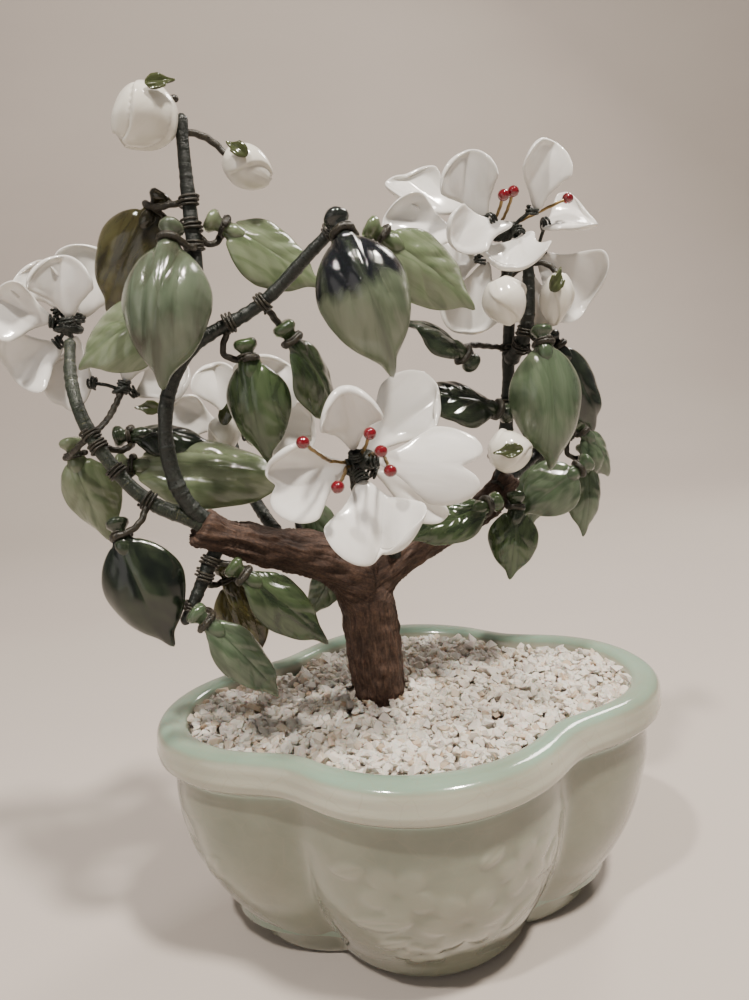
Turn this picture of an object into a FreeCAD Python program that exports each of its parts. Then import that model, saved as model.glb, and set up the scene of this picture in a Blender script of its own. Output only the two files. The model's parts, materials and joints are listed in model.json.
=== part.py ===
import FreeCAD, Part
import math
import os
import random

# Ornamental tree of glass leaves and flowers, wired on a wrapped trunk and set in a lobed pot.
# Millimetres. X runs along the pot, the front faces -Y, the origin is the centre of the pot's foot.

V = FreeCAD.Vector
doc = FreeCAD.newDocument("GlassLeafTree")

# ------------------------------------------------------------------ driving sizes
SIZES = [
    ("pot_length", 165.0), ("pot_depth", 115.4), ("pot_height", 77.0), ("pot_floor", 8.0),
    ("foot_recess", 2.0), ("plaster_top", 60.0), ("gravel_top", 72.0), ("seat_gap", 0.15),
    ("trunk_radius", 7.2), ("left_limb_radius", 5.2), ("right_limb_radius", 4.2),
    ("rod_radius", 1.5), ("rod_clearance", 0.1), ("branch_radius", 2.4), ("branch_end_radius", 1.7),
    ("twig_radius", 0.9), ("neck_radius", 1.8), ("neck_clearance", 0.08), ("stamen_radius", 0.45),
    ("bead_radius", 1.5), ("tie_radius", 0.6), ("tie_lift", 0.45),
]
sheet = doc.addObject("Spreadsheet::Sheet", "Sizes")
for row, (alias, value) in enumerate(SIZES, start=1):
    sheet.set("A%d" % row, alias)
    sheet.set("B%d" % row, str(value))
    sheet.setAlias("B%d" % row, alias)
doc.recompute()


def size(alias):
    """Value of one cell of the sheet, in millimetres."""
    return float(sheet.get(alias))


POT_HALF_LENGTH = size("pot_length") / 2
POT_HALF_DEPTH = size("pot_depth") / 2
NODES = []


def keep(obj, label):
    """Name a finished sub-part and put it on the list of pieces to write out."""
    obj.Label = label
    NODES.append(obj)
    return obj


def feature(name, shape, placement=None):
    """A document object that carries a shape built from curves."""
    obj = doc.addObject("Part::Feature", name)
    obj.Shape = shape
    if placement is not None:
        obj.Placement = placement
    return obj


def group(label, members):
    """Several separate solids of one kind that share a node."""
    obj = doc.addObject("Part::Compound", label)
    obj.Links = members
    return keep(obj, label)


# ------------------------------------------------------------------ lobed outline of the pot
END_LOBE = (0.492, 0.581)      # radii of the two end lobes, as shares of half length and half depth
FACE_LOBE = (0.582, 0.785)     # radii of the front and back lobes
LOBE_POINTS = 9


def notch_angle():
    """Angle on the end lobe, from its own centre, at which it meets the front lobe."""
    low = 0.0
    high = math.pi * 0.75
    for _ in range(60):
        mid = (low + high) / 2
        x = 1 - END_LOBE[0] + END_LOBE[0] * math.cos(mid)
        y = END_LOBE[1] * math.sin(mid)
        inside = (x / FACE_LOBE[0]) ** 2 + ((y - 1 + FACE_LOBE[1]) / FACE_LOBE[1]) ** 2 < 1
        low, high = (low, mid) if inside else (mid, high)
    return mid


NOTCH = notch_angle()
NOTCH_X = 1 - END_LOBE[0] + END_LOBE[0] * math.cos(NOTCH)
NOTCH_Y = END_LOBE[1] * math.sin(NOTCH)
FACE_SPAN = math.atan2(NOTCH_X / FACE_LOBE[0], (NOTCH_Y - 1 + FACE_LOBE[1]) / FACE_LOBE[1])


def lobe_curves(half_length, half_depth):
    """The four lobe curves of a level outline, end to end, meeting at the notches."""
    curves = []
    for quarter in range(4):
        points = []
        for step in range(LOBE_POINTS):
            share = 2 * step / (LOBE_POINTS - 1) - 1
            if quarter % 2 == 0:
                angle = NOTCH * share
                x = 1 - END_LOBE[0] + END_LOBE[0] * math.cos(angle)
                y = END_LOBE[1] * math.sin(angle)
            else:
                angle = FACE_SPAN * share
                x = -FACE_LOBE[0] * math.sin(angle)
                y = 1 - FACE_LOBE[1] + FACE_LOBE[1] * math.cos(angle)
            side = 1 if quarter < 2 else -1
            points.append(V(side * x * half_length, side * y * half_depth, 0))
        curve = Part.BSplineCurve()
        curve.interpolate(points)
        curves.append(curve)
    return curves


def origin_plane(body, role):
    for item in body.Origin.OriginFeatures:
        if item.Role == role:
            return item
    raise ValueError(role)


def outline_sketch(body, name, height, half_length, half_depth):
    """Level sketch of the lobed outline at one height of a body."""
    sketch = body.newObject("Sketcher::SketchObject", name)
    sketch.AttachmentSupport = [(origin_plane(body, "XY_Plane"), "")]
    sketch.MapMode = "FlatFace"
    sketch.AttachmentOffset = FreeCAD.Placement(V(0, 0, height), FreeCAD.Rotation())
    for curve in lobe_curves(half_length, half_depth):
        sketch.addGeometry(curve, False)
    return sketch


def outline_solid(levels, name, ruled=False):
    """Body lofted through level outlines given as (height, half length, half depth)."""
    body = doc.addObject("PartDesign::Body", name)
    sketches = []
    for index, (height, half_length, half_depth) in enumerate(levels):
        sketches.append(outline_sketch(body, "%s_level%d" % (name, index), height, half_length, half_depth))
    doc.recompute()
    loft = body.newObject("PartDesign::AdditiveLoft", name + "_loft")
    loft.Profile = sketches[0]
    loft.Sections = sketches[1:]
    loft.Ruled = ruled
    doc.recompute()
    return body


# heights and sizes of the wall, as shares of the full height, half length and half depth
WALL = [(0.0, 0.635, 0.60), (0.06, 0.69, 0.65), (0.16, 0.75, 0.72), (0.38, 0.87, 0.855), (0.60, 0.93, 0.92),
        (0.745, 0.95, 0.942), (0.80, 0.955, 0.95), (0.86, 0.985, 0.985), (0.925, 1.0, 1.0),
        (0.975, 0.99, 0.987), (1.0, 0.965, 0.955)]
HOLLOW = [(0.104, 0.58, 0.52), (0.38, 0.79, 0.75), (0.75, 0.875, 0.84), (1.013, 0.855, 0.79)]


def hollow_at(height):
    """Half length and half depth of the inside of the pot at a height."""
    share = height / size("pot_height")
    for (z0, x0, y0), (z1, x1, y1) in zip(HOLLOW, HOLLOW[1:]):
        if share <= z1:
            part = max(0.0, (share - z0) / (z1 - z0))
            return (x0 + (x1 - x0) * part) * POT_HALF_LENGTH, (y0 + (y1 - y0) * part) * POT_HALF_DEPTH
    return HOLLOW[-1][1] * POT_HALF_LENGTH, HOLLOW[-1][2] * POT_HALF_DEPTH


def pot():
    """Glazed pot: lobed wall with a rolled rim, hollow inside, with a shallow recess under the foot."""
    top = size("pot_height")
    wall = [(z * top, x * POT_HALF_LENGTH, y * POT_HALF_DEPTH) for z, x, y in WALL]
    body = outline_solid(wall, "pot")
    inner = []
    for index, (z, x, y) in enumerate(HOLLOW):
        inner.append(outline_sketch(body, "pot_inside%d" % index, top * z, x * POT_HALF_LENGTH,
                                    y * POT_HALF_DEPTH))
    doc.recompute()
    cut = body.newObject("PartDesign::SubtractiveLoft", "pot_hollow")
    cut.Profile = inner[0]
    cut.Sections = inner[1:]
    cut.Ruled = True
    doc.recompute()
    recess = outline_sketch(body, "pot_recess_outline", 0, 0.53 * POT_HALF_LENGTH, 0.49 * POT_HALF_DEPTH)
    doc.recompute()
    pocket = body.newObject("PartDesign::Pocket", "pot_recess")
    pocket.Profile = recess
    pocket.setExpression("Length", "Sizes.foot_recess")
    pocket.Reversed = True
    body.Tip = pocket
    doc.recompute()
    return keep(body, "pot")


def fill_levels(low, high):
    """Outlines that follow the inside of the pot with a thin seat gap."""
    gap = size("seat_gap")
    bends = [z * size("pot_height") for z, _, _ in HOLLOW]
    levels = []
    for height in [low] + [z for z in bends if low < z < high] + [high]:
        half_length, half_depth = hollow_at(height)
        levels.append((height, half_length - gap, half_depth - gap))
    return levels


# ------------------------------------------------------------------ curves of the wirework
def smooth(points, start=None, finish=None):
    """Smooth curve through points, with optional end directions."""
    curve = Part.BSplineCurve()
    if start is None:
        curve.interpolate(points)
    else:
        curve.interpolate(Points=points, InitialTangent=start, FinalTangent=finish)
    return curve


def vectors(points):
    return [V(*point) for point in points]


CROWN = size("gravel_top")     # the tree's heights are counted from the gravel
BRANCH_POINTS = {
    "limb_left": [(-10, 5, -30), (-10, 5, 2), (-11, 6, 23), (-14, 5, 40), (-37, -4, 55), (-58, -12, 66)],
    "rod": [(-10, 5, -30), (-10, 5, 2), (-11, 6, 23), (-14, 5, 39), (-18, 3.5, 43)],
    "limb_right": [(-12, 6, 34), (-2, 6, 45), (14, 10, 51), (39, 18, 66)],
    "branch_left_low": [(-54, -11, 64), (-60, -12, 68), (-71, -11, 74), (-81, -9, 86), (-87, -6, 98),
                        (-90, 0, 110), (-90, 6, 120)],
    "branch_left_loop": [(-53, -10, 65), (-62, -14, 76), (-64, -15, 90), (-62, -15, 103), (-53, -15, 116),
                         (-38, -16, 123), (-25, -20, 133), (-14, -26, 142)],
    "branch_left_high": [(-54, -15, 115), (-52, -14, 126), (-51, -13, 140), (-51, -12, 156), (-50, -12, 175)],
    "branch_left_droop": [(-50, -9, 63), (-57, -13, 55), (-61, -15, 47), (-66, -16, 39)],
    "branch_right_main": [(36, 17, 64), (39, 18, 82), (40, 16, 107), (40, 14, 125), (37, 10, 139)],
    "branch_right_side": [(40, 16, 104), (43, 8, 112), (44, 6, 124), (43, 5, 138)],
    "branch_right_low": [(35, 16, 63), (46, 24, 68), (55, 29, 72), (64, 33, 75), (69, 33, 79)],
    "branch_back": [(-34, -3, 53), (-40, 10, 60), (-47, 22, 72), (-50, 30, 86)],
    "branch_front": [(-1, 6, 45), (-6, -6, 56), (-13, -20, 70), (-15, -31, 81)],
}
CURVES = {}
for name, points in BRANCH_POINTS.items():
    CURVES[name] = smooth([V(x, y, z + CROWN) for x, y, z in points])


CURVE_STEPS = 240


def by_distance(curve, point):
    """Parameters spread along a curve, the one closest to a point first."""
    span = curve.LastParameter - curve.FirstParameter
    places = [curve.FirstParameter + span * step / CURVE_STEPS for step in range(CURVE_STEPS + 1)]
    return sorted(places, key=lambda place: (curve.value(place) - point).Length)


def nearest(name, point):
    """Point of a named curve closest to a point, and the curve's direction there."""
    curve = CURVES[name]
    place = by_distance(curve, point)[0]
    return curve.value(place), curve.tangent(place)[0]


def section_circle(name, centre, direction, expression):
    circle = doc.addObject("Part::Circle", name)
    circle.Placement = FreeCAD.Placement(centre, FreeCAD.Rotation(V(0, 0, 1), direction))
    circle.setExpression("Radius", expression)
    return circle


def swept(name, edges, sections):
    """Round bar swept along edges, through circles given as (centre, direction, radius expression)."""
    spine = feature(name + "_spine", Part.Wire(edges))
    circles = []
    for index, (centre, direction, expression) in enumerate(sections):
        circles.append(section_circle("%s_ring%d" % (name, index), centre, direction, expression))
    bar = doc.addObject("Part::Sweep", name)
    bar.Sections = circles
    bar.Spine = (spine, ["Edge%d" % (count + 1) for count in range(len(edges))])
    bar.Solid = True
    bar.Frenet = False
    return bar


def along(curve, share):
    place = curve.FirstParameter + share * (curve.LastParameter - curve.FirstParameter)
    return curve.value(place), curve.tangent(place)[0]


def bar_on_curve(name, curve, radii):
    """Round bar along a whole curve through radius expressions spaced evenly from end to end."""
    sections = []
    for index, expression in enumerate(radii):
        centre, direction = along(curve, index / (len(radii) - 1))
        sections.append((centre, direction, expression))
    return swept(name, [curve.toShape()], sections)


# ------------------------------------------------------------------ hot-worked glass
def closed_wire(points):
    """Smooth closed curve through points."""
    curve = Part.BSplineCurve()
    curve.interpolate(points, True)
    return Part.Wire([curve.toShape()])


def lens(half_width, half_thick, lift, count=12):
    """Closed cross-section of a blade, pointed at the sides and bowed by lift."""
    points = []
    for index in range(count):
        angle = 2 * math.pi * index / count
        side = math.cos(angle)
        face = math.sin(angle)
        y = half_width * side
        z = lift * half_width * side * side + half_thick * math.copysign(abs(face) ** 0.8, face)
        points.append(V(0, y, z))
    return closed_wire(points)


LEAF_STATIONS = [0.0, 0.08, 0.2, 0.38, 0.56, 0.74, 0.88, 0.96, 1.0]
NECK_LENGTH = 1.4
NECK_OVERLAP = 2.2             # how far the neck runs on into the blade
BUTTON_LENGTH = 3.6
BUTTON_EDGE = 1.3
BUTTON_BACK = 4.8              # from the wire ring to the button's far face
BUTTON_RADIUS = 1.75 * size("neck_radius")
TWIG_STAND_OFF = 2.4           # clearance between a twig's shoulder and the button
TWIG_SPACING = 2.6
TRUNK_FOOT = V(-10, 5, 0)
CHIP_PITCH = 8.2
CHIP_FREE_RADIUS = 12          # no loose chip lies closer than this to the trunk's axis


def blade_path(length, curl, count=40):
    """Centre line of a curled blade: list of (x, z, slope) at even steps."""
    line = [(NECK_LENGTH, 0.0, 0.0)]
    step = length / count
    for index in range(count):
        x, z, _ = line[-1]
        slope = curl * ((index + 0.5) / count) ** 0.7
        line.append((x + step * math.cos(slope), z - step * math.sin(slope), curl * ((index + 1) / count) ** 0.7))
    return line


def leaf_blade(length, width, curl, cup, twist):
    """Blade of a leaf, lofted from the neck to a drawn-out tip."""
    line = blade_path(length, curl)
    wires = []
    for share in LEAF_STATIONS:
        x, z, slope = line[int(round(share * (len(line) - 1)))]
        swell = math.sin(math.pi * min(1.0, share ** 0.78)) ** 0.72 if share < 1 else 0.0
        half_width = max(2.7 * (1 - share) ** 0.5, 0.5 * width * swell, 0.9)
        half_thick = max(0.6, 2.2 - 2.6 * min(share, 0.34) - 0.8 * max(0.0, share - 0.34))
        wire = lens(half_width, half_thick, cup * min(1.0, 4 * share) * (1 - share ** 4))
        turn = FreeCAD.Rotation(V(0, 1, 0), math.degrees(slope)) * FreeCAD.Rotation(V(1, 0, 0), twist * share)
        wire.Placement = FreeCAD.Placement(V(x, 0, z), turn)
        wires.append(wire)
    return Part.makeLoft(wires, True, False)


def neck_and_button():
    """Round neck that sits in the wire ring, with the glass button behind it."""
    neck_start = BUTTON_LENGTH - BUTTON_BACK - 0.1
    neck_end = NECK_LENGTH + NECK_OVERLAP + neck_start
    neck = Part.makeCylinder(size("neck_radius"), neck_end - neck_start, V(neck_start, 0, 0), V(1, 0, 0))
    button = Part.makeCylinder(BUTTON_RADIUS, BUTTON_LENGTH, V(-BUTTON_BACK, 0, 0), V(1, 0, 0))
    button = button.makeFillet(BUTTON_EDGE, [edge for edge in button.Edges if len(edge.Vertexes) == 1])
    return button.fuse(neck)


def oriented(origin, along_axis, face_axis, chord_angle):
    """Placement with local X near along_axis, turned so a curled blade's chord follows along_axis."""
    first = V(along_axis)
    first.normalize()
    third = face_axis - first * face_axis.dot(first)
    third.normalize()
    x_axis = first * math.cos(chord_angle) - third * math.sin(chord_angle)
    z_axis = first * math.sin(chord_angle) + third * math.cos(chord_angle)
    y_axis = z_axis.cross(x_axis)
    return FreeCAD.Placement(origin, FreeCAD.Rotation(x_axis, y_axis, z_axis, "XZY"))


def glass_leaf(name, ring, tip, face, width, curl, cup, twist):
    """A leaf whose neck is at ring and whose tip reaches tip, its broad face towards face."""
    chord = (V(*tip) - V(*ring)).Length
    bend = math.radians(curl)
    unit_x, unit_z, _ = blade_path(chord, bend)[-1]
    length = chord * chord / math.hypot(unit_x, unit_z)
    blade = leaf_blade(length, width, bend, cup, twist)
    shape = blade.fuse(neck_and_button())
    placement = oriented(V(*ring), V(*tip) - V(*ring), V(*face), math.atan2(unit_z, unit_x))
    return feature(name, shape, placement)


PETAL_STATIONS = [-0.98, -0.86, -0.62, -0.32, 0.0, 0.32, 0.62, 0.86, 0.98]
PETAL_POINTS = 14


def petal_shape(length, width, notch, curl, cup, thick=1.9):
    """Petal lofted from side to side; notch splits its outer edge into two lobes."""
    wires = []
    for share in PETAL_STATIONS:
        lobe = (abs(share) - 0.45 * notch) / (1 - 0.45 * notch)
        far = length * (0.55 + 0.45 * math.sqrt(max(0.0, 1 - lobe * lobe)))
        near = length * 0.55 * abs(share) ** 0.75
        middle = (far + near) / 2
        reach = max(1.1, (far - near) / 2)
        half_thick = thick / 2 * max(0.45, 1 - 0.5 * share * share)
        points = []
        for index in range(PETAL_POINTS):
            angle = 2 * math.pi * index / PETAL_POINTS
            x = middle + reach * math.cos(angle)
            ride = x / length
            rise = cup * width * share * share * min(1.0, ride * 1.5) - curl * length * max(0.0, ride) ** 2.2
            face = math.sin(angle)
            points.append(V(x, 0, rise + half_thick * math.copysign(abs(face) ** 0.8, face)))
        wire = closed_wire(points)
        wire.Placement = FreeCAD.Placement(V(0, share * width / 2, 0), FreeCAD.Rotation())
        wires.append(wire)
    return Part.makeLoft(wires, True, False)


def petal(name, base, tip, face, width, notch, curl, cup):
    """A petal with its narrow end at base and its outer edge at tip."""
    chord = (V(*tip) - V(*base)).Length
    drop = -curl * chord
    length = chord * chord / math.hypot(chord, drop)
    shape = petal_shape(length, width, notch, curl, cup)
    placement = oriented(V(*base), V(*tip) - V(*base), V(*face), math.atan2(drop, chord))
    return feature(name, shape, placement)


# where each section of a bud lies along it, and its radius as a share of the widest
BUD_STATIONS = [(0.0, 0.42), (0.12, 0.8), (0.35, 1.0), (0.6, 0.96), (0.82, 0.68), (0.96, 0.36), (1.0, 0.2)]
BUD_POINTS = 18


def bud_shape(length, radius, folds=3):
    """Folded bud: three-cornered sections that turn as they rise."""
    wires = []
    for share, swell in BUD_STATIONS:
        points = []
        for index in range(BUD_POINTS):
            angle = 2 * math.pi * index / BUD_POINTS
            ripple = 1 + 0.09 * math.cos(folds * (angle - 1.5 * share))
            reach = radius * swell * ripple
            points.append(V(0, reach * math.cos(angle), reach * math.sin(angle)))
        wire = closed_wire(points)
        wire.Placement = FreeCAD.Placement(V(length * share, 0, 0), FreeCAD.Rotation())
        wires.append(wire)
    return Part.makeLoft(wires, True, False)


def bud(name, base, tip, radius):
    axis = V(*tip) - V(*base)
    placement = oriented(V(*base), axis, V(0.13, -1, 0.31), 0.0)
    return feature(name, bud_shape(axis.Length, radius), placement)


# ------------------------------------------------------------------ twigs that hold the glass
def ring_twig(name, anchor, placement):
    """Wire from an anchor on a branch that closes round the neck of a leaf as an open ring."""
    ring_radius = size("neck_radius") + size("neck_clearance") + size("twig_radius")
    centre = placement.Base
    axis = placement.Rotation.multVec(V(1, 0, 0))
    gap = anchor - centre
    outward = gap - axis * gap.dot(axis)
    if outward.Length < 1.0:
        outward = placement.Rotation.multVec(V(0, 0, 1))
    outward.normalize()
    sideways = axis.cross(outward)

    def on_ring(degrees):
        angle = math.radians(degrees)
        return centre + (outward * math.cos(angle) + sideways * math.sin(angle)) * ring_radius

    def heading(degrees):
        angle = math.radians(degrees)
        return sideways * math.cos(angle) - outward * math.sin(angle)

    enter = 70
    leave = 335
    arc = Part.Arc(on_ring(enter), on_ring((enter + leave) / 2), on_ring(leave))
    stand_off = BUTTON_RADIUS + TWIG_STAND_OFF
    lean = max(-1.5, min(1.5, gap.dot(axis) / 6))
    shoulder = centre + outward * stand_off + sideways * ring_radius + axis * lean
    first = shoulder - anchor
    lead = smooth([anchor, shoulder, on_ring(enter)], first, heading(enter) * stand_off)
    sections = [(anchor, lead.tangent(lead.FirstParameter)[0], "Sizes.twig_radius")]
    return swept(name, [lead.toShape(), arc.toShape()], sections)


def spaced_anchors():
    """Where each twig leaves its branch: the closest point, moved along so that no two twigs share it."""
    taken = {}
    anchors = {}
    for name, row in LEAVES.items():
        curve = CURVES[row[0]]
        others = taken.setdefault(row[0], [])
        for place in by_distance(curve, V(*row[1])):
            point = curve.value(place)
            if all((point - other).Length > TWIG_SPACING for other in others):
                break
        others.append(point)
        anchors[name] = point
    return anchors


def stem(name, start, finish, sag):
    """Thin wire from one point to another, bowed by sag."""
    middle = (start + finish) * 0.5 + V(*sag)
    curve = smooth([start, middle, finish])
    return bar_on_curve(name, curve, ["Sizes.twig_radius", "Sizes.twig_radius"])


# name: branch, ring, tip, face direction, width, curl in degrees, cup, twist in degrees
LEAVES = {
    "leaf_high_back": ("branch_left_high", (-61, -5, 223), (-77, -1, 200), (-0.25, -1, 0.1), 23, 18, -0.15, 0),
    "leaf_high_front": ("branch_left_high", (-56, -21, 213), (-61, -27, 180), (-0.05, -1, 0.1), 24, 30, -0.2, 0),
    "leaf_high_left": ("branch_left_high", (-61, -13, 197), (-83, -13, 185), (-0.1, -1, 0.45), 20, 12, -0.2, 10),
    "leaf_high_right": ("branch_left_high", (-43, -9, 217), (-20, -5, 202), (0.2, -1, 0.5), 17, 12, -0.2, 0),
    "leaf_loop_front": ("branch_left_loop", (-14, -33, 211), (-5, -36, 179), (0, -1, 0.1), 24, 34, -0.2, 0),
    "leaf_loop_back": ("branch_left_loop", (-3, -22, 211), (20, -17, 193), (0.1, -1, 0.3), 19, 10, -0.2, 0),
    "leaf_loop_hanging": ("branch_left_loop", (-40, -15, 183), (-38, -14, 156), (-0.15, -1, 0), 18, 18, -0.3, 15),
    "leaf_loop_edge": ("branch_left_loop", (-28, -16, 187), (-19, -8, 164), (0.8, -0.7, 0.3), 16, 20, -0.2, 10),
    "leaf_right_inner": ("branch_right_main", (22, 2, 179), (4, -3, 190), (0.35, -0.5, 0.9), 14, 20, -0.2, 0),
    "leaf_right_front": ("branch_right_side", (45, -3, 181), (46, -6, 146), (0, -1, 0), 22, 24, -0.2, 0),
    "leaf_right_outer": ("branch_right_side", (55, 13, 179), (67, 15, 153), (0.5, -1, 0.2), 18, 30, -0.25, 20),
    "leaf_right_dark": ("branch_right_main", (32, 3, 162), (8, 0, 169), (0.2, -0.7, 0.8), 17, 18, -0.25, 0),
    "leaf_low_right_a": ("branch_right_low", (62, 15, 139), (43, 14, 127), (0.1, -1, 0.3), 19, 16, -0.2, 0),
    "leaf_low_right_b": ("branch_right_low", (59, 40, 139), (53, 40, 115), (0, -1, 0), 15, 16, -0.2, 0),
    "leaf_low_right_c": ("branch_right_low", (72, 34, 139), (70, 31, 113), (0.2, -1, 0), 15, 16, -0.2, 0),
    "leaf_low_right_d": ("branch_right_low", (68, 26, 150), (78, 28, 134), (0.5, -1, 0.2), 13, 16, -0.2, 0),
    "leaf_right_under": ("branch_right_low", (38, 7, 130), (35, 4, 109), (-0.2, -1, 0.1), 16, 14, -0.25, 0),
    "leaf_right_limb": ("limb_right", (27, 1, 133), (3, -6, 127), (0, -0.8, 0.6), 15, 14, -0.2, 0),
    "leaf_low_left_dark": ("branch_left_low", (-79, -15, 138), (-70, -19, 108), (-0.1, -1, 0.1), 23, 24, -0.2, 0),
    "leaf_low_left_pale": ("branch_left_low", (-93, 3, 159), (-88, 5, 134), (-0.1, -1, 0), 18, 16, -0.25, 10),
    "leaf_low_left_black": ("branch_left_low", (-77, 5, 163), (-56, 7, 159), (0, -0.6, 0.8), 13, 14, -0.2, 0),
    "leaf_low_left_long": ("branch_left_low", (-77, 2, 155), (-33, 3, 146), (0, -0.8, 0.6), 15, 10, -0.2, 0),
    "leaf_droop_back": ("branch_left_droop", (-53, -4, 119), (-47, -5, 95), (0.1, -1, 0.1), 16, 14, -0.25, 0),
    "leaf_droop_right": ("branch_left_droop", (-47, -20, 125), (-27, -17, 103), (0.4, -1, 0.4), 15, 14, -0.2, 0),
    "leaf_droop_front": ("branch_left_droop", (-58, -24, 114), (-42, -21, 90), (0.7, -0.9, 0.4), 13, 24, -0.2, 20),
    "leaf_behind_trunk": ("limb_left", (-20, 18, 113), (-29, 22, 97), (-0.3, -1, 0), 11, 14, -0.2, 0),
    "leaf_behind_limb": ("limb_left", (-27, 12, 139), (-24, 13, 116), (0, -1, 0), 13, 14, -0.2, 0),
}
LEAF_GROUPS = {
    "leaves_low_right": ["leaf_low_right_b", "leaf_low_right_c", "leaf_low_right_d"],
    "leaves_behind_fork": ["leaf_behind_trunk", "leaf_behind_limb"],
    "leaves_right_limb": ["leaf_right_under", "leaf_right_limb"],
    "leaves_right_inner": ["leaf_right_inner", "leaf_right_dark"],
}
TWIG_GROUPS = {
    "twigs_high": ["leaf_high_back", "leaf_high_front", "leaf_high_left", "leaf_high_right"],
    "twigs_loop": ["leaf_loop_front", "leaf_loop_back", "leaf_loop_hanging", "leaf_loop_edge"],
    "twigs_right": ["leaf_right_inner", "leaf_right_front", "leaf_right_outer", "leaf_right_dark"],
    "twigs_low_right": ["leaf_low_right_a", "leaf_low_right_b", "leaf_low_right_c", "leaf_low_right_d",
                        "leaf_right_under", "leaf_right_limb"],
    "twigs_low_left": ["leaf_low_left_dark", "leaf_low_left_pale", "leaf_low_left_black", "leaf_low_left_long",
                       "leaf_behind_trunk", "leaf_behind_limb", "leaf_droop_back", "leaf_droop_right",
                       "leaf_droop_front"],
}

# name: base, tip, face direction, width, notch 0 to 1, curl as a share of length, cup
FRONT_PETALS = {
    "petal_front_left": ((-17, -34, 155), (-37, -37, 152), (0.2, -1, 0.1), 19, 0.9, 0.12, 0.10),
    "petal_front_top": ((-15, -35, 158), (-17, -44, 175), (0, -1, -0.1), 14, 0.2, -0.25, 0.12),
    "petal_front_high": ((-12, -30, 157), (8, -22, 173), (0, -1, 0.3), 17, 0.3, 0.2, 0.08),
    "petal_front_right": ((-10, -36, 156), (14, -42, 153), (0.05, -1, 0.3), 18, 1.0, 0.1, 0.10),
    "petal_front_bottom": ((-14, -36, 152), (-11, -47, 134), (0, -1, 0.5), 23, 0.9, 0.15, 0.12),
    "petal_front_lower": ((-10, -29, 152), (10, -26, 141), (0.05, -1, 0.2), 15, 1.0, 0.15, 0.08),
}
PETAL_GROUPS = {
    "petals_upper": [
        ((25, 8, 219), (5, 10, 229), (0, -0.7, 0.7), 15, 0.1, 0.22, 0.05),
        ((24, 2, 214), (2, 1, 216), (-0.1, -0.9, 0.3), 14, 0.2, 0.15, 0.08),
        ((28, -1, 216), (23, -3, 233), (-0.4, -0.9, 0.1), 13, 0.1, 0.1, 0.08),
        ((33, -7, 216), (17, -10, 211), (0, -1, 0.2), 11, 0.1, 0.1, 0.05),
        ((43, -2, 218), (47, -4, 235), (0.1, -1, 0), 11, 0.2, 0.1, 0.15),
        ((47, 3, 215), (62, 5, 216), (0, -0.6, 0.8), 15, 0.4, 0.15, 0.05),
        ((39, -4, 212), (33, -10, 203), (-0.2, -0.7, 0.7), 16, 0.3, 0.1, 0.1),
        ((29, 9, 210), (11, 10, 203), (0, -1, 0.2), 16, 0.3, 0.15, 0.08),
        ((30, 8, 206), (24, 8, 186), (-0.1, -1, 0), 15, 0.3, 0.15, 0.08),
        ((49, 10, 207), (64, 11, 192), (0, -1, 0.1), 20, 0.2, 0.12, 0.08),
        ((47, 15, 205), (50, 16, 184), (0, -1, 0), 11, 0.2, 0.1, 0.08),
    ],
    "petals_left": [
        ((-88, 11, 198), (-79, 11, 214), (0, -1, 0.2), 15, 0.2, 0.15, 0.1),
        ((-93, 9, 200), (-98, 8, 212), (-0.2, -1, 0), 10, 0.1, 0.1, 0.1),
        ((-90, 5, 197), (-89, 2, 212), (0, -1, 0), 13, 0.2, 0.1, 0.1),
        ((-95, 8, 197), (-109, 7, 202), (-0.1, -1, 0), 12, 0.2, 0.1, 0.1),
        ((-95, 11, 191), (-109, 12, 185), (-0.2, -1, -0.1), 14, 0.3, 0.15, 0.12),
        ((-90, 13, 189), (-96, 15, 175), (-0.1, -1, -0.1), 13, 0.3, 0.15, 0.12),
        ((-79, 15, 178), (-74, 15, 190), (0, -1, 0), 10, 0.1, 0.1, 0.1),
        ((-77, 18, 175), (-62, 20, 181), (0, -1, 0.1), 13, 0.3, 0.15, 0.1),
    ],
    "petals_back": [
        ((-51, 32, 164), (-55, 34, 181), (0, -1, 0), 12, 0.2, 0.15, 0.1),
        ((-54, 31, 161), (-69, 32, 167), (0, -1, 0), 13, 0.2, 0.15, 0.1),
        ((-53, 32, 156), (-66, 34, 142), (0, -1, 0), 15, 0.3, 0.15, 0.1),
        ((-47, 30, 163), (-32, 27, 180), (0, -1, 0), 18, 0.3, 0.15, 0.12),
        ((-46, 33, 157), (-23, 32, 158), (0, -1, 0), 17, 0.4, 0.15, 0.12),
    ],
}
# hearts: centre and radius of the wrapped knot each flower is tied on
HEARTS = {
    "heart_front": ((-14, -32, 155), 5.2),
    "heart_upper": ((37, 4, 213), 4.8),
    "heart_upper_left": ((27, 3, 215), 4.2),
    "heart_upper_low": ((48, 10, 208), 3.6),
    "heart_left": ((-91, 9, 195), 4.6),
    "heart_small": ((-80, 15, 176), 3.2),
    "heart_back": ((-50, 30, 160), 4.8),
}
# buds: base, tip, radius
BUDS = {
    "bud_top": ((-53, -13, 247), (-65, -16, 239), 8.2),
    "bud_side": ((-41, -8, 234), (-30, -9, 229), 6.0),
    "bud_upper": ((30, -8, 199), (35, -10, 188), 6.0),
    "bud_upper_right": ((52, 0, 200), (48, -1, 187), 4.6),
    "bud_front": ((26, -10, 151), (37, -12, 151), 6.2),
    "bud_back": ((-51, 21, 165), (-53, 17, 154), 5.0),
}
# stamens: bead positions round the front and the upper flower
BEADS = {
    "front": [(-28, -50, 164), (-21, -50, 153), (-12, -44, 164), (-10, -47, 160), (-8, -46, 155)],
    "upper": [(32, -11, 221), (35, -10, 222), (54, 0, 221)],
}


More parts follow.
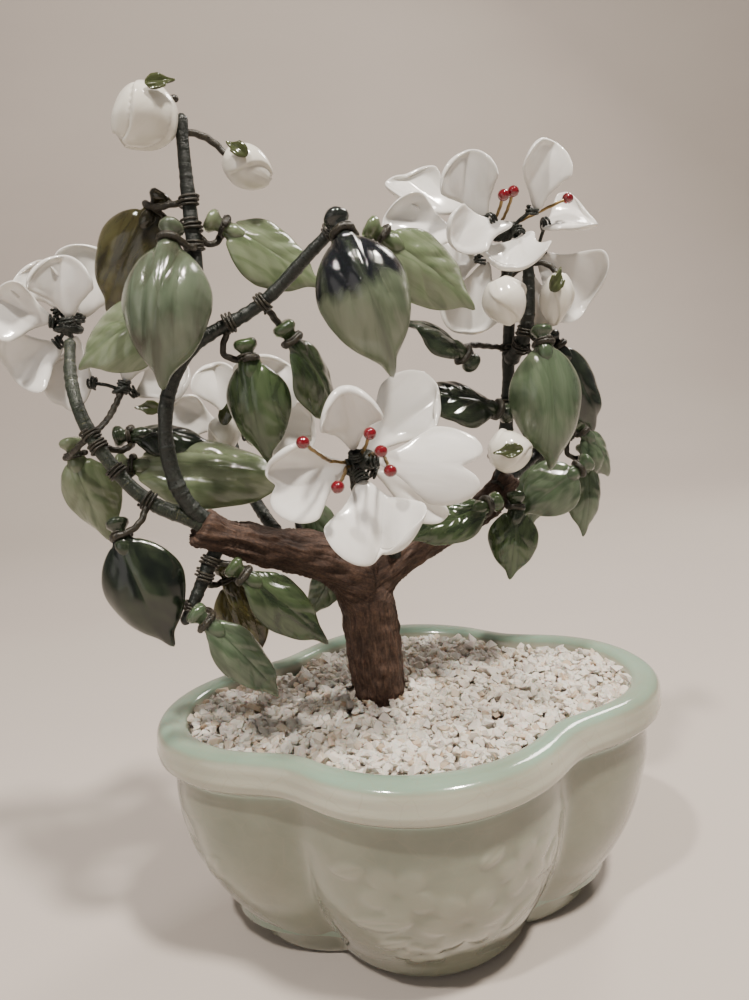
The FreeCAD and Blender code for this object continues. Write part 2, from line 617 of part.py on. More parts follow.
# ------------------------------------------------------------------ build
def planter():
    pot()
    gap = size("seat_gap")
    plug = outline_solid(fill_levels(size("pot_floor") + gap, size("plaster_top")), "plaster_block", True)
    bed = outline_solid(fill_levels(size("plaster_top") + gap, size("gravel_top")), "gravel_block", True)
    return plug, bed


def chip_shape(rng):
    """One broken marble chip: two uneven polygons joined by flat faces."""
    rings = []
    for height, spread in ((0.0, 1.0), (rng.uniform(2.0, 3.0), rng.uniform(0.5, 0.8))):
        points = []
        for index in range(5):
            angle = 2 * math.pi * (index + rng.uniform(-0.25, 0.25)) / 5
            radius = rng.uniform(1.9, 2.7) * spread
            points.append(V(radius * math.cos(angle), radius * math.sin(angle), height))
        rings.append(Part.makePolygon(points + points[:1]))
    return Part.makeLoft(rings, True, True)


def in_lobes(x, y, limit):
    """Whether a point, in shares of half length and half depth, is well inside one of the four lobes."""
    end = ((abs(x) - 1 + END_LOBE[0]) / END_LOBE[0]) ** 2 + (y / END_LOBE[1]) ** 2
    face = (x / FACE_LOBE[0]) ** 2 + ((abs(y) - 1 + FACE_LOBE[1]) / FACE_LOBE[1]) ** 2
    return min(end, face) < limit


def gravel_chips():
    """Loose chips that lie on the bed, kept clear of each other, the wall and the trunk."""
    rng = random.Random(7)
    half_length, half_depth = hollow_at(size("gravel_top") + 3)
    chips = []
    reach = int(half_length / CHIP_PITCH)
    for column in range(-reach, reach + 1):
        for line in range(-reach, reach + 1):
            x = (column + 0.5 * (line % 2)) * CHIP_PITCH + rng.uniform(-0.9, 0.9)
            y = line * CHIP_PITCH * 0.87 + rng.uniform(-0.9, 0.9)
            from_trunk = math.hypot(x - TRUNK_FOOT.x, y - TRUNK_FOOT.y)
            if from_trunk < CHIP_FREE_RADIUS or not in_lobes(x / half_length, y / half_depth, 0.78):
                continue
            turn = FreeCAD.Rotation(V(0, 0, 1), rng.uniform(0, 360))
            spot = FreeCAD.Placement(V(x, y, size("gravel_top") + 0.02), turn)
            chips.append(feature("chip%d" % len(chips), chip_shape(rng), spot))
    return group("gravel_chips", chips)


def trunk_and_rods(plug, bed):
    """Wrapped trunk that forks into two limbs, with the steel rods inside it set in the plaster."""
    left = bar_on_curve("trunk_left_skin", CURVES["limb_left"],
                        ["Sizes.trunk_radius", "Sizes.trunk_radius", "Sizes.trunk_radius * 1.15",
                         "Sizes.left_limb_radius * 1.2", "Sizes.left_limb_radius"])
    right = bar_on_curve("trunk_right_skin", CURVES["limb_right"],
                         ["Sizes.right_limb_radius * 1.5", "Sizes.right_limb_radius * 1.1",
                          "Sizes.right_limb_radius * 0.9"])
    rod = bar_on_curve("rod", CURVES["rod"], ["Sizes.rod_radius", "Sizes.rod_radius"])
    bore = bar_on_curve("rod_bore", CURVES["rod"],
                        ["Sizes.rod_radius + Sizes.rod_clearance", "Sizes.rod_radius + Sizes.rod_clearance"])
    doc.recompute()
    skin = doc.addObject("Part::MultiFuse", "trunk_skin")
    skin.Shapes = [left, right]
    doc.recompute()
    trunk = doc.addObject("Part::Cut", "trunk_bored")
    trunk.Base = skin
    trunk.Tool = bore
    doc.recompute()
    keep(trunk, "trunk")
    keep(rod, "armature_rod")
    hole = doc.addObject("Part::Cylinder", "trunk_socket")
    hole.setExpression("Radius", "Sizes.trunk_radius * 1.15")
    hole.setExpression("Height", "Sizes.pot_height")
    hole.Placement = FreeCAD.Placement(TRUNK_FOOT + V(0, 0, size("plaster_top") - 20), FreeCAD.Rotation())
    for block, label in ((plug, "plaster_plug"), (bed, "gravel_bed")):
        cut = doc.addObject("Part::Cut", label + "_cut")
        cut.Base = block
        cut.Tool = hole
        keep(cut, label)
    doc.recompute()


def branches():
    stalks = []
    for name in BRANCH_POINTS:
        if name.startswith("branch"):
            bar = bar_on_curve(name, CURVES[name], ["Sizes.branch_radius", "Sizes.branch_end_radius"])
            if name in ("branch_back", "branch_front"):
                stalks.append(bar)
            else:
                keep(bar, name)
    group("flower_stalks", stalks)


def leaves_and_twigs():
    for name, (_, ring, tip, face, width, curl, cup, twist) in LEAVES.items():
        leaf = glass_leaf(name, ring, tip, face, width, curl, cup, twist)
        if not any(name in names for names in LEAF_GROUPS.values()):
            keep(leaf, name)
    for label, names in LEAF_GROUPS.items():
        group(label, [doc.getObject(name) for name in names])
    anchors = spaced_anchors()
    for label, names in TWIG_GROUPS.items():
        twigs = []
        for name in names:
            twigs.append(ring_twig("twig_" + name[5:], anchors[name], doc.getObject(name).Placement))
        group(label, twigs)
    bands = []
    for name, anchor in anchors.items():
        branch = LEAVES[name][0]
        if branch.startswith("limb"):
            continue
        point, direction = nearest(branch, anchor)
        share = min(1.0, (point - CURVES[branch].StartPoint).Length / CURVES[branch].length())
        taper = "%.3f * (Sizes.branch_radius - Sizes.branch_end_radius)" % share
        band = doc.addObject("Part::Torus", "band_" + name[5:])
        band.setExpression("Radius1", "Sizes.branch_radius + Sizes.tie_lift - " + taper)
        band.setExpression("Radius2", "Sizes.tie_radius")
        band.Placement = FreeCAD.Placement(point, FreeCAD.Rotation(V(0, 0, 1), direction))
        bands.append(band)
    group("tie_wires", bands)


def flowers():
    for name, values in FRONT_PETALS.items():
        keep(petal(name, *values), name)
    for label, rows in PETAL_GROUPS.items():
        group(label, [petal("%s_%d" % (label, index), *values) for index, values in enumerate(rows)])
    hearts = []
    for name, (centre, radius) in HEARTS.items():
        knot = doc.addObject("Part::Sphere", name)
        knot.Radius = radius
        knot.Placement = FreeCAD.Placement(V(*centre), FreeCAD.Rotation())
        hearts.append(knot)
    group("flower_hearts", hearts)
    buds = {name: bud(name, *values) for name, values in BUDS.items()}
    for name in ("bud_top", "bud_side"):
        keep(buds.pop(name), name)
    group("buds_small", list(buds.values()))


def bud_stems():
    """Wires that carry the buds, the small flower and the upper heart."""
    high = CURVES["branch_left_high"]
    rows = [
        ("stem_top", high.value(high.LastParameter), "bud_top", (1, 0, 1)),
        ("stem_side", nearest("branch_left_high", V(-50, -12, 240))[0], "bud_side", (1, 2, 2)),
        ("stem_upper", nearest("branch_right_side", V(44, 5, 208))[0], "bud_upper", (0, -2, 2)),
        ("stem_upper_right", nearest("branch_right_side", V(44, 5, 204))[0], "bud_upper_right", (1, -1, 2)),
        ("stem_front", nearest("branch_right_main", V(37, 16, 146))[0], "bud_front", (-4, -3, 0)),
        ("stem_back", V(*HEARTS["heart_back"][0]), "bud_back", (0, -1, 1)),
    ]
    stems = []
    for name, start, bud_name, sag in rows:
        base, tip, _ = BUDS[bud_name]
        inward = V(*tip) - V(*base)
        inward.normalize()
        stems.append(stem(name, start, V(*base) + inward * 1.5, sag))
    anchor = nearest("branch_left_low", V(-85, -6, 165))[0]
    stems.append(stem("stem_small", anchor, V(*HEARTS["heart_small"][0]), (0, 0, -2)))
    anchor = nearest("branch_right_main", V(38, 12, 206))[0]
    stems.append(stem("stem_upper_left", anchor, V(*HEARTS["heart_upper_left"][0]), (0, 1, -3)))
    anchor = nearest("branch_right_main", V(39, 13, 201))[0]
    stems.append(stem("stem_upper_low", anchor, V(*HEARTS["heart_upper_low"][0]), (0, 1, -1)))
    group("bud_stems", stems)


# sepals: base, tip, face direction of the small green leaves that clasp the buds and the flowers
SEPALS = [
    ((-50, -19, 250), (-57, -22, 248), (0.2, -1, 0.5)), ((-40, -14, 237), (-35, -15, 233), (0.2, -1, 0.3)),
    ((25, -16, 152), (33, -19, 153), (0, -1, 0.3)), ((50, -5, 202), (47, -6, 195), (0, -1, 0.1)),
    ((-76, 9, 171), (-68, 9, 170), (0, -1, 0.3)), ((-49, 16, 170), (-51, 14, 163), (0, -1, 0.3)),
]


def sepals():
    pieces = []
    for index, (base, tip, face) in enumerate(SEPALS):
        pieces.append(petal("sepal_%d" % index, base, tip, face, 4.2, 0.0, 0.1, 0.1))
    group("sepals", pieces)


def stamens():
    beads = []
    wires = []
    for flower, places in BEADS.items():
        centre = V(*HEARTS["heart_" + flower][0])
        for index, place in enumerate(places):
            bead = doc.addObject("Part::Sphere", "bead_%s_%d" % (flower, index))
            bead.setExpression("Radius", "Sizes.bead_radius")
            bead.Placement = FreeCAD.Placement(V(*place), FreeCAD.Rotation())
            beads.append(bead)
            start = centre + (V(*place) - centre) * 0.22 + V(2.2 * (index - 2), 0, 0.6 * index)
            middle = (start + V(*place)) * 0.5 + V(0, -2, 0)
            curve = smooth([start, middle, V(*place)])
            wires.append(bar_on_curve("stamen_%s_%d" % (flower, index), curve,
                                      ["Sizes.stamen_radius", "Sizes.stamen_radius"]))
    group("stamen_wires", wires)
    group("stamen_beads", beads)


plug, bed = planter()
gravel_chips()
trunk_and_rods(plug, bed)
branches()
leaves_and_twigs()
flowers()
bud_stems()
sepals()
stamens()
doc.recompute()

os.makedirs("parts", exist_ok=True)
for obj in doc.Objects:
    if "Invalid" in obj.State or "Error" in obj.State:
        print("BAD STATE", obj.Name, obj.State)
for obj in NODES:
    shape = obj.Shape
    if shape.isNull() or not shape.isValid():
        print("BAD SHAPE", obj.Label)
    shape.exportStep("parts/%s.step" % obj.Label)
print(len(NODES), "sub-parts written")
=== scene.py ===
"""Looks of a wired glass-leaf tree in a lobed pot, in metres; numbers times MM are millimetres."""
import heapq
import json
import math

import bmesh
import bpy
import numpy as np
from mathutils import Matrix, Vector


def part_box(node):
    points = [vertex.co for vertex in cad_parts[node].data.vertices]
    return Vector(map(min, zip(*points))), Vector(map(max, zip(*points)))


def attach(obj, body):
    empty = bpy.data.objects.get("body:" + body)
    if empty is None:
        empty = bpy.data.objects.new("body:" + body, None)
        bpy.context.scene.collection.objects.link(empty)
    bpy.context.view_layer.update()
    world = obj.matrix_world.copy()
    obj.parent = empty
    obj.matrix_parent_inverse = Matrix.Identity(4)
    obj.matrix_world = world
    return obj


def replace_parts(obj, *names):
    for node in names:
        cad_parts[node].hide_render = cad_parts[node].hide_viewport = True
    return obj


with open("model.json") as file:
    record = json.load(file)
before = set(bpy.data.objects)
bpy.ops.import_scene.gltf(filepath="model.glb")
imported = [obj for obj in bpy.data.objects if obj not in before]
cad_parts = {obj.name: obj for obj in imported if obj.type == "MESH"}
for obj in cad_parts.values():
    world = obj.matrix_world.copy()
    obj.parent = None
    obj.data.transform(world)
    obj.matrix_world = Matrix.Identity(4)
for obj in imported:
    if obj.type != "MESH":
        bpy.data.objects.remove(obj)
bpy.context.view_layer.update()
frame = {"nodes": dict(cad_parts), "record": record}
NODES = frame["nodes"]
RECORD = frame["record"]
BODY_OF = {node: body for body, nodes in RECORD["behaviour"]["bodies"].items() for node in nodes}
MM = 0.001
TREE = BODY_OF["trunk"]
GRAVEL_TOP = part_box("gravel_bed")[1][2]
POT_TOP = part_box("pot")[1][2]
TRUNK_FOOT = np.array([-10.0, 5.0, 0.0]) * MM
UP = np.array([0.0, 0.0, 1.0])
FRONT = np.array([0.0, -1.0, 0.25])


# ------------------------------------------------------------------ reading the frame
def unit(vector):
    return vector / np.linalg.norm(vector)


def read_solids(node):
    """The separate closed solids of a CAD node, each as (points, triangles)."""
    mesh = NODES[node].data
    mesh.calc_loop_triangles()
    points = np.empty(len(mesh.vertices) * 3)
    mesh.vertices.foreach_get("co", points)
    points = points.reshape(-1, 3)
    triangles = np.empty(len(mesh.loop_triangles) * 3, dtype=np.int32)
    mesh.loop_triangles.foreach_get("vertices", triangles)
    _, first, merged = np.unique(np.round(points, 6), axis=0, return_index=True, return_inverse=True)
    merged = merged.reshape(-1)
    points = points[first]
    triangles = merged[triangles.reshape(-1, 3)]
    ends = np.concatenate([triangles[:, :2], triangles[:, 1:]])
    labels = np.arange(len(points))
    while True:
        low = np.minimum(labels[ends[:, 0]], labels[ends[:, 1]])
        before = labels.copy()
        np.minimum.at(labels, ends[:, 0], low)
        np.minimum.at(labels, ends[:, 1], low)
        labels = labels[labels]
        if (labels == before).all():
            break
    solids = []
    for label in np.unique(labels):
        chosen = np.flatnonzero(labels == label)
        renumber = np.full(len(points), -1)
        renumber[chosen] = np.arange(len(chosen))
        solids.append((points[chosen], renumber[triangles[labels[triangles[:, 0]] == label]]))
    return solids


def scatter(points, triangles, count, seed, values=None):
    """Points spread evenly over a surface, with a value carried along if one is given."""
    rng = np.random.default_rng(seed)
    a, b, c = (points[triangles[:, k]] for k in range(3))
    area = np.linalg.norm(np.cross(b - a, c - a), axis=1)
    pick = rng.choice(len(triangles), size=count, p=area / area.sum())
    u, v = rng.random(count), rng.random(count)
    over = u + v > 1
    u[over], v[over] = 1 - u[over], 1 - v[over]
    weights = np.stack([1 - u - v, u, v])
    spots = sum(weights[k][:, None] * points[triangles[pick, k]] for k in range(3))
    if values is None:
        return spots
    return spots, sum(weights[k] * values[triangles[pick, k]] for k in range(3))


def value_noise(points, size, seed=0.0):
    """Smooth noise from -1 to 1 with features of one size, for many points at once."""
    grid = np.asarray(points) / size
    cell = np.floor(grid)
    part = grid - cell
    part = part * part * (3 - 2 * part)
    total = 0.0
    for corner in range(8):
        step = np.array([corner & 1, corner >> 1 & 1, corner >> 2 & 1])
        spot = cell + step
        wave = np.sin(spot[:, 0] * 127.1 + spot[:, 1] * 311.7 + spot[:, 2] * 74.7 + seed) * 43758.5453
        share = np.prod(np.where(step, part, 1 - part), axis=1)
        total = total + share * ((wave - np.floor(wave)) * 2 - 1)
    return total


# ------------------------------------------------------------------ making pieces
def merge(parts):
    """Joins (points, faces, values) parts into one."""
    points, faces, attributes, base = [], [], {}, 0
    for part_points, part_faces, part_attributes in parts:
        points.append(part_points)
        faces.extend([tuple(index + base for index in face) for face in part_faces])
        for key, values in part_attributes.items():
            attributes.setdefault(key, []).append(values)
        base += len(part_points)
    return np.concatenate(points), faces, {key: np.concatenate(rows) for key, rows in attributes.items()}


def make_piece(name, parts, node, look, body=None, smooth=True):
    """Mesh object from (points, faces, values) parts, riding on the given body or on its CAD node's body, with
    the material named by look.
    """
    points, faces, attributes = merge(parts)
    mesh = bpy.data.meshes.new(name)
    mesh.from_pydata([tuple(point) for point in points], [], faces)
    mesh.validate()
    if smooth:
        mesh.polygons.foreach_set("use_smooth", [True] * len(mesh.polygons))
    for key, values in attributes.items():
        layer = mesh.attributes.new(key, "FLOAT", "POINT")
        layer.data.foreach_set("value", np.asarray(values, dtype=np.float32))
    mesh.update()
    obj = bpy.data.objects.new(name, mesh)
    bpy.context.scene.collection.objects.link(obj)
    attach(obj, body or BODY_OF[node])
    mesh.materials.append(MATERIALS[look])
    return obj


def loft_faces(rings, around):
    """Faces that join rings of equal size, closed at both ends."""
    faces = []
    for start in range(0, (rings - 1) * around, around):
        for k in range(around):
            after = start + (k + 1) % around
            faces.append((start + k, after, after + around, start + k + around))
    faces.append(tuple(range(around))[::-1])
    faces.append(tuple((rings - 1) * around + k for k in range(around)))
    return faces


def crosswise(axis):
    """A direction square to an axis."""
    return unit(np.cross(axis, UP if abs(axis[2]) < 0.9 else np.array([1.0, 0, 0])))


def distances(line):
    """Distance along a line to each of its points."""
    return np.concatenate([[0], np.cumsum(np.linalg.norm(np.diff(line, axis=0), axis=1))])


def tube(line, radius, around, ridge=0.0, pitch=1.0, seed=0.0, rough=0.0):
    """Round bar on a centre line with a raised thread wound round it; radius is a number or one per point."""
    line = np.asarray(line)
    count = len(line)
    radius = np.broadcast_to(radius, count)
    tangents = np.gradient(line, axis=0)
    tangents /= np.linalg.norm(tangents, axis=1)[:, None] + 1e-12
    side = crosswise(tangents[0])
    length = distances(line)
    angles = np.linspace(0, 2 * math.pi, around, endpoint=False)
    points = []
    for index in range(count):
        side = unit(side - tangents[index] * side.dot(tangents[index]))
        other = np.cross(tangents[index], side)
        wave = np.cos(2 * math.pi * length[index] / pitch + angles)
        end = min(length[index], length[-1] - length[index]) / max(radius[index], 1e-9)
        swell = radius[index] * (1 + ridge * wave) * math.sqrt(max(0.12, 1 - max(0.0, 1 - end) ** 2))
        points.append(line[index] + np.outer(np.cos(angles) * swell, side)
                      + np.outer(np.sin(angles) * swell, other))
    points = np.concatenate(points)
    if rough:
        centre = np.repeat(line, around, axis=0)
        lump = value_noise(points, 4 * radius.mean(), seed)
        lump += 0.6 * value_noise(points, 1.6 * radius.mean(), seed + 5)
        points = points + (points - centre) * (rough * lump)[:, None]
    marks = {"along": np.repeat(length, around) / MM, "turn": np.tile(angles, count)}
    return points, loft_faces(count, around), marks


def resample(line, step):
    """The same line with its points at even steps."""
    length = distances(line)
    marks = np.linspace(0, length[-1], max(4, int(length[-1] / step)))
    return np.stack([np.interp(marks, length, line[:, k]) for k in range(3)], axis=1)


def walk(points, triangles, sources):
    """Distance over the mesh's edges from the source points."""
    links = [[] for _ in points]
    sides = ((0, 1), (1, 2), (0, 2))
    for a, b in {tuple(sorted((tri[i], tri[j]))) for tri in triangles for i, j in sides}:
        size = float(np.linalg.norm(points[a] - points[b]))
        links[a].append((b, size))
        links[b].append((a, size))
    distance = np.full(len(points), 1e9)
    queue = []
    for source in sources:
        distance[source] = 0.0
        queue.append((0.0, int(source)))
    heapq.heapify(queue)
    while queue:
        reached, here = heapq.heappop(queue)
        if reached > distance[here]:
            continue
        for there, size in links[here]:
            if reached + size < distance[there]:
                distance[there] = reached + size
                heapq.heappush(queue, (reached + size, there))
    return distance


def trace_bar(points, triangles, radius):
    """Centre line of a bent round bar of about one radius."""
    far = int(np.argmax(walk(points, triangles, [0])))
    start = np.flatnonzero(np.linalg.norm(points - points[far], axis=1) < 2.3 * radius)
    distance = walk(points, triangles, start)
    spots, reach = scatter(points, triangles, 9000, 3, distance)
    bins = max(6, int(distance.max() / (0.8 * radius)))
    which = np.minimum((reach / distance.max() * bins).astype(int), bins - 1)
    line = []
    for index in range(bins):
        inside = spots[which == index]
        if len(inside) > 5:
            line.append((inside.min(0) + inside.max(0)) / 4 + inside.mean(0) / 2)
    line = np.array(line)
    for _ in range(3):
        line = np.concatenate([line[:1], (line[:-2] + 2 * line[1:-1] + line[2:]) / 4, line[-1:]])
    return line


def blade_axes(spots, first=None):
    """Centre and the long, wide and thin directions of a flat piece."""
    centre = spots.mean(0)
    _, vectors = np.linalg.eigh(np.cov((spots - centre).T))
    long_axis, thin = vectors[:, 2], vectors[:, 0]
    if thin.dot(FRONT) < 0:
        thin = -thin
    if first is not None:
        long_axis = unit(first - thin * first.dot(thin))
    return centre, long_axis, np.cross(thin, long_axis), thin


# ------------------------------------------------------------------ hot-worked glass blades
ROLL_START = 0.70              # share of the way to the edge at which a rolled lip begins
LEAF_THICK, PETAL_THICK, SEPAL_THICK = 2.3, 2.4, 1.2
BLADE_RINGS = 30               # rows of points from the middle of a blade to its edge
LEAF_AROUND, PETAL_AROUND = 132, 120


def powers(x, y):
    """Terms of the smooth surface fitted through a blade."""
    return [np.ones_like(x), x, y, x * x, x * y, y * y, x ** 3, x * x * y, x * y * y]


def blade_piece(local, thick, relief, around, stretch, crown=0.0, roll=None, point=0.0):
    """Closed glass blade over the outline of scattered local points (x along, y across, z thin).

    roll gives, for each direction from the middle, the angle through which the lip curls forward.
    point draws the outline out to a tip.
    """
    span = local.max(0) - local.min(0)
    middle = (local.max(0) + local.min(0)) / 2
    x, y = local[:, 0] - middle[0], local[:, 1] - middle[1]
    fit, *_ = np.linalg.lstsq(np.stack(powers(x, y), axis=1), local[:, 2], rcond=None)
    angle = np.arctan2(y, x * stretch)
    reach = np.hypot(x * stretch, y)
    bins = 90
    which = ((angle + math.pi) / (2 * math.pi) * bins).astype(int) % bins
    radius = np.array([reach[which == k].max() if (which == k).any() else np.nan for k in range(bins)])
    known = np.flatnonzero(~np.isnan(radius))
    radius = np.interp(np.arange(bins), known, radius[known], period=bins)
    radius = (np.roll(radius, 1) + 2 * radius + np.roll(radius, -1)) / 4
    turns = np.linspace(-math.pi, math.pi, around, endpoint=False)
    edge = np.interp((turns + math.pi) / (2 * math.pi) * bins - 0.5, np.arange(-1, bins + 1),
                     np.concatenate([radius[-1:], radius, radius[:1]]))
    edge = edge * (1 + point * np.exp(-(turns / 0.10) ** 2))
    shares = np.sin(np.linspace(0, math.pi / 2, BLADE_RINGS + 1))[1:]
    bend = np.maximum(roll(turns), 1e-3) if roll else np.full(around, 1e-3)
    swing = bend * np.clip((shares - ROLL_START) / (1 - ROLL_START), 0, 1)[:, None]
    reach = np.minimum(shares, ROLL_START)[:, None] + (1 - ROLL_START) * np.sin(swing) / bend
    px = reach * edge * np.cos(turns) / stretch
    py = reach * edge * np.sin(turns)
    lift = (1 - ROLL_START) * (1 - np.cos(swing)) / bend * edge / max(1.0, stretch)
    rim = np.repeat(shares[:, None], around, axis=1)
    flat = np.concatenate([[[0.0, 0.0, 0.0, 0.0]], np.stack([px, py, rim, lift], axis=2).reshape(-1, 4)])
    gx, gy, rim, lift = flat.T
    level = sum(k * term for k, term in zip(fit, powers(gx, gy)))
    along = gx / span[0] + 0.5
    across = gy / (span[1] / 2)
    level = level + lift + relief(along, across, rim) * MM + crown * MM * ((1 - rim ** 2) ** 0.7 - 0.35)
    half = thick * MM / 2 * (0.6 + 0.4 * (1 - rim ** 2)) * np.sqrt(np.maximum(0, 1 - rim ** 12))
    sheet = np.stack([gx + middle[0], gy + middle[1], level], axis=1)
    grid = np.concatenate([np.repeat(sheet[:1], around, axis=0), sheet[1:]]).reshape(BLADE_RINGS + 1, around, 3)
    outwards = np.gradient(grid, axis=0)
    sideways = np.roll(grid, -1, axis=1) - np.roll(grid, 1, axis=1)
    normals = np.cross(outwards, sideways)[1:].reshape(-1, 3)
    normals /= np.linalg.norm(normals, axis=1)[:, None] + 1e-15
    normals = np.concatenate([[unit(normals[:around].mean(0))], normals])
    front = sheet + normals * half[:, None]
    back = sheet - normals * half[:, None]
    count = len(front)
    last = count - around
    faces = []
    for k in range(around):
        after = (k + 1) % around
        faces.append((0, 1 + k, 1 + after))
        for ring in range(BLADE_RINGS - 1):
            a, b = 1 + ring * around + k, 1 + ring * around + after
            faces.append((a, a + around, b + around, b))
    rear = [tuple(count + index for index in face[::-1]) for face in faces]
    seam = []
    for k in range(around):
        after = last + (k + 1) % around
        seam.append((last + k, count + last + k, count + after, after))
    both = np.concatenate([front, back])
    marks = {"along": np.tile(along, 2), "across": np.tile(across, 2), "rim": np.tile(rim, 2)}
    return both, faces + rear + seam, marks


def lathe(profile, around, wobble, seed):
    """Round piece about local X from (x, radius) pairs in millimetres."""
    angles = np.linspace(0, 2 * math.pi, around, endpoint=False)
    rings = []
    for x, radius in profile:
        ring = [np.full(around, x), radius * np.cos(angles), radius * np.sin(angles)]
        rings.append(np.stack(ring, axis=1))
    points = np.concatenate(rings) * MM
    points = points * (1 + wobble * value_noise(points, 2.5 * MM, seed))[:, None]
    return points, loft_faces(len(profile), around)


# glass button and neck of a leaf: (distance from the wire ring, radius) in mm
BUTTON = [(-5.0, 0.6), (-4.95, 1.8), (-4.6, 2.7), (-3.9, 3.2), (-2.9, 3.15), (-2.2, 2.5), (-1.5, 1.9),
          (-0.4, 1.7), (1.0, 1.8), (2.2, 2.2), (3.4, 2.3), (5.0, 1.8), (6.4, 0.7)]
# node: material, doming in mm, side vein depth in mm, lengthwise ribs or not
LEAF_LOOKS = {
    "leaf_high_back": ("leaf_olive", 1.8, 0.15, 0), "leaf_high_front": ("leaf_heart", 6.5, 0.12, 1),
    "leaf_high_left": ("leaf_light", 1.6, 0.35, 0), "leaf_high_right": ("leaf_light", 1.2, 0.35, 0),
    "leaf_loop_front": ("leaf_two_tone", 6.0, 0.15, 1), "leaf_loop_back": ("leaf_light", 1.2, 0.45, 0),
    "leaf_loop_hanging": ("leaf_green", 3.0, 0.15, 0), "leaf_loop_edge": ("leaf_green", 2.4, 0.2, 0),
    "leaf_right_front": ("leaf_pale", 5.0, 0.15, 0), "leaf_right_outer": ("leaf_dark", 2.6, 0.2, 0),
    "leaf_low_left_dark": ("leaf_dark", 2.2, 0.15, 0), "leaf_low_left_pale": ("leaf_light", 1.6, 0.3, 0),
    "leaf_low_left_black": ("leaf_dark", 1.4, 0.2, 0), "leaf_low_left_long": ("leaf_light", 3.2, 0.3, 1),
    "leaf_droop_back": ("leaf_olive", 2.8, 0.3, 1), "leaf_droop_right": ("leaf_green", 1.4, 0.35, 0),
    "leaf_droop_front": ("leaf_pale", 1.4, 0.35, 0), "leaf_low_right_a": ("leaf_pale", 1.4, 0.3, 0),
    "leaves_low_right": ("leaf_pale", 1.6, 0.3, 0), "leaves_right_limb": ("leaf_green", 1.6, 0.35, 0),
    "leaves_right_inner": ("leaf_dark", 1.6, 0.35, 0), "leaves_behind_fork": ("leaf_pale", 1.4, 0.3, 0),
}
# breadth as a share of the CAD blade's, where it isn't 1
LEAF_BREADTH = {"leaf_low_left_long": 1.55, "leaf_high_front": 0.93, "leaf_high_right": 1.15,
                "leaf_loop_front": 0.95}


def leaf_relief(seed, ribs, vein):
    """Surface shape of one leaf: midrib, side veins, slow ripples and, if asked, lengthwise swollen ribs."""
    def relief(along, across, rim):
        side = np.abs(across)
        spots = np.stack([along * 3.2, across * 2.0, np.full_like(along, seed)], axis=1)
        fade = np.clip(1.15 - rim, 0, 1) * np.clip(along * 6, 0, 1)
        level = -0.5 * np.exp(-(across / 0.09) ** 2) * fade
        level += vein * np.sin(2 * math.pi * (along * 4.5 - side * 1.6)) * np.clip(side * 3, 0, 1) * fade
        level += 0.6 * value_noise(spots, 0.9, seed) + 1.3 * rim ** 3 * value_noise(spots, 0.9, seed + 9)
        if ribs:
            swollen = np.abs(np.cos(across * 1.5 * math.pi))
            ends = np.clip(1.2 - along, 0, 1) * np.clip(along * 5, 0, 1)
            level += 2.2 * swollen * ends * np.clip(1.1 - rim, 0, 1)
        return level
    return relief


def leaf_neck(spots):
    """Neck of one leaf, its direction and its blade's points; the thick glass button marks the neck end."""
    centre, long_axis, _, thin = blade_axes(spots)
    reach = (spots - centre) @ long_axis
    low = spots[reach < reach.min() + 4.0 * MM]
    high = spots[reach > reach.max() - 4.0 * MM]
    if np.ptp(low @ thin) < np.ptp(high @ thin):
        long_axis, reach, low = -long_axis, -reach, high
    button = low.mean(0)
    blade = spots[reach > reach.min() + 7.0 * MM]
    root = spots[(reach > reach.min() + 4.6 * MM) & (reach < reach.min() + 6.2 * MM)].mean(0)
    neck_axis = unit(root - button)
    return button + neck_axis * 3.0 * MM, neck_axis, blade


def toned(parts, seed):
    """Gives all the parts of one piece the same tone, from 0 to 1."""
    for points, _, marks in parts:
        marks["tone"] = np.full(len(points), (seed * 0.618) % 1.0)
    return parts


def build_leaf(name, node, solid, look, seed):
    material, crown, vein, ribs = look
    spots = scatter(*solid, 9000, seed)
    neck, neck_axis, blade = leaf_neck(spots)
    tip = spots[np.argmax((spots - neck) @ unit(blade.mean(0) - neck))]
    _, *axes = blade_axes(blade, tip - neck)
    axes = np.stack(axes)
    local = (blade - neck) @ axes.T * np.array([1.0, LEAF_BREADTH.get(node, 1.0), 1.0])
    span = np.ptp(local, axis=0)
    start = local[:, 0].min()
    head = np.stack([np.full(60, start - 3.2 * MM), np.linspace(-2.2, 2.2, 60) * MM,
                     np.full(60, local[local[:, 0] < start + 2 * MM][:, 2].mean())], axis=1)
    local = np.concatenate([local, head])
    relief = leaf_relief(seed, ribs, vein)
    points, faces, marks = blade_piece(local, LEAF_THICK, relief, LEAF_AROUND, span[1] / span[0], crown,
                                       point=0.16)
    side = unit(np.cross(axes[2], neck_axis))
    neck_axes = np.stack([neck_axis, side, np.cross(neck_axis, side)])
    knob, knob_faces = lathe(BUTTON, 20, 0.06, seed)
    knob_marks = {"along": 0.05, "across": 0.3, "rim": 0.4}
    knob_marks = {key: np.full(len(knob), value) for key, value in knob_marks.items()}
    NECKS.append((neck, neck_axis))
    parts = [(points @ axes + neck, faces, marks), (knob @ neck_axes + neck, knob_faces, knob_marks)]
    return make_piece(name, toned(parts, seed), node, material)


# node: cup in mm (up at the sides), direction of the rolled lip and its spread in degrees (0 is the tip,
# positive turns anticlockwise as seen), roll in radians, fold in mm along a slanting crease
PETAL_LOOKS = {
    "petal_front_left": (3.6, -60, 42, 3.0, 2.0), "petal_front_top": (6.0, 0, 70, 3.2, 0.0),
    "petal_front_high": (1.5, -48, 36, 3.4, 1.0), "petal_front_right": (-5.0, 75, 40, 0.8, 0.0),
    "petal_front_bottom": (2.2, 38, 34, 3.2, 4.4), "petal_front_lower": (-3.4, -60, 40, 0.8, 1.6),
}
PETAL_GROW = {"petals_left": 1.42, "petals_back": 1.30, "petals_upper": 1.30}


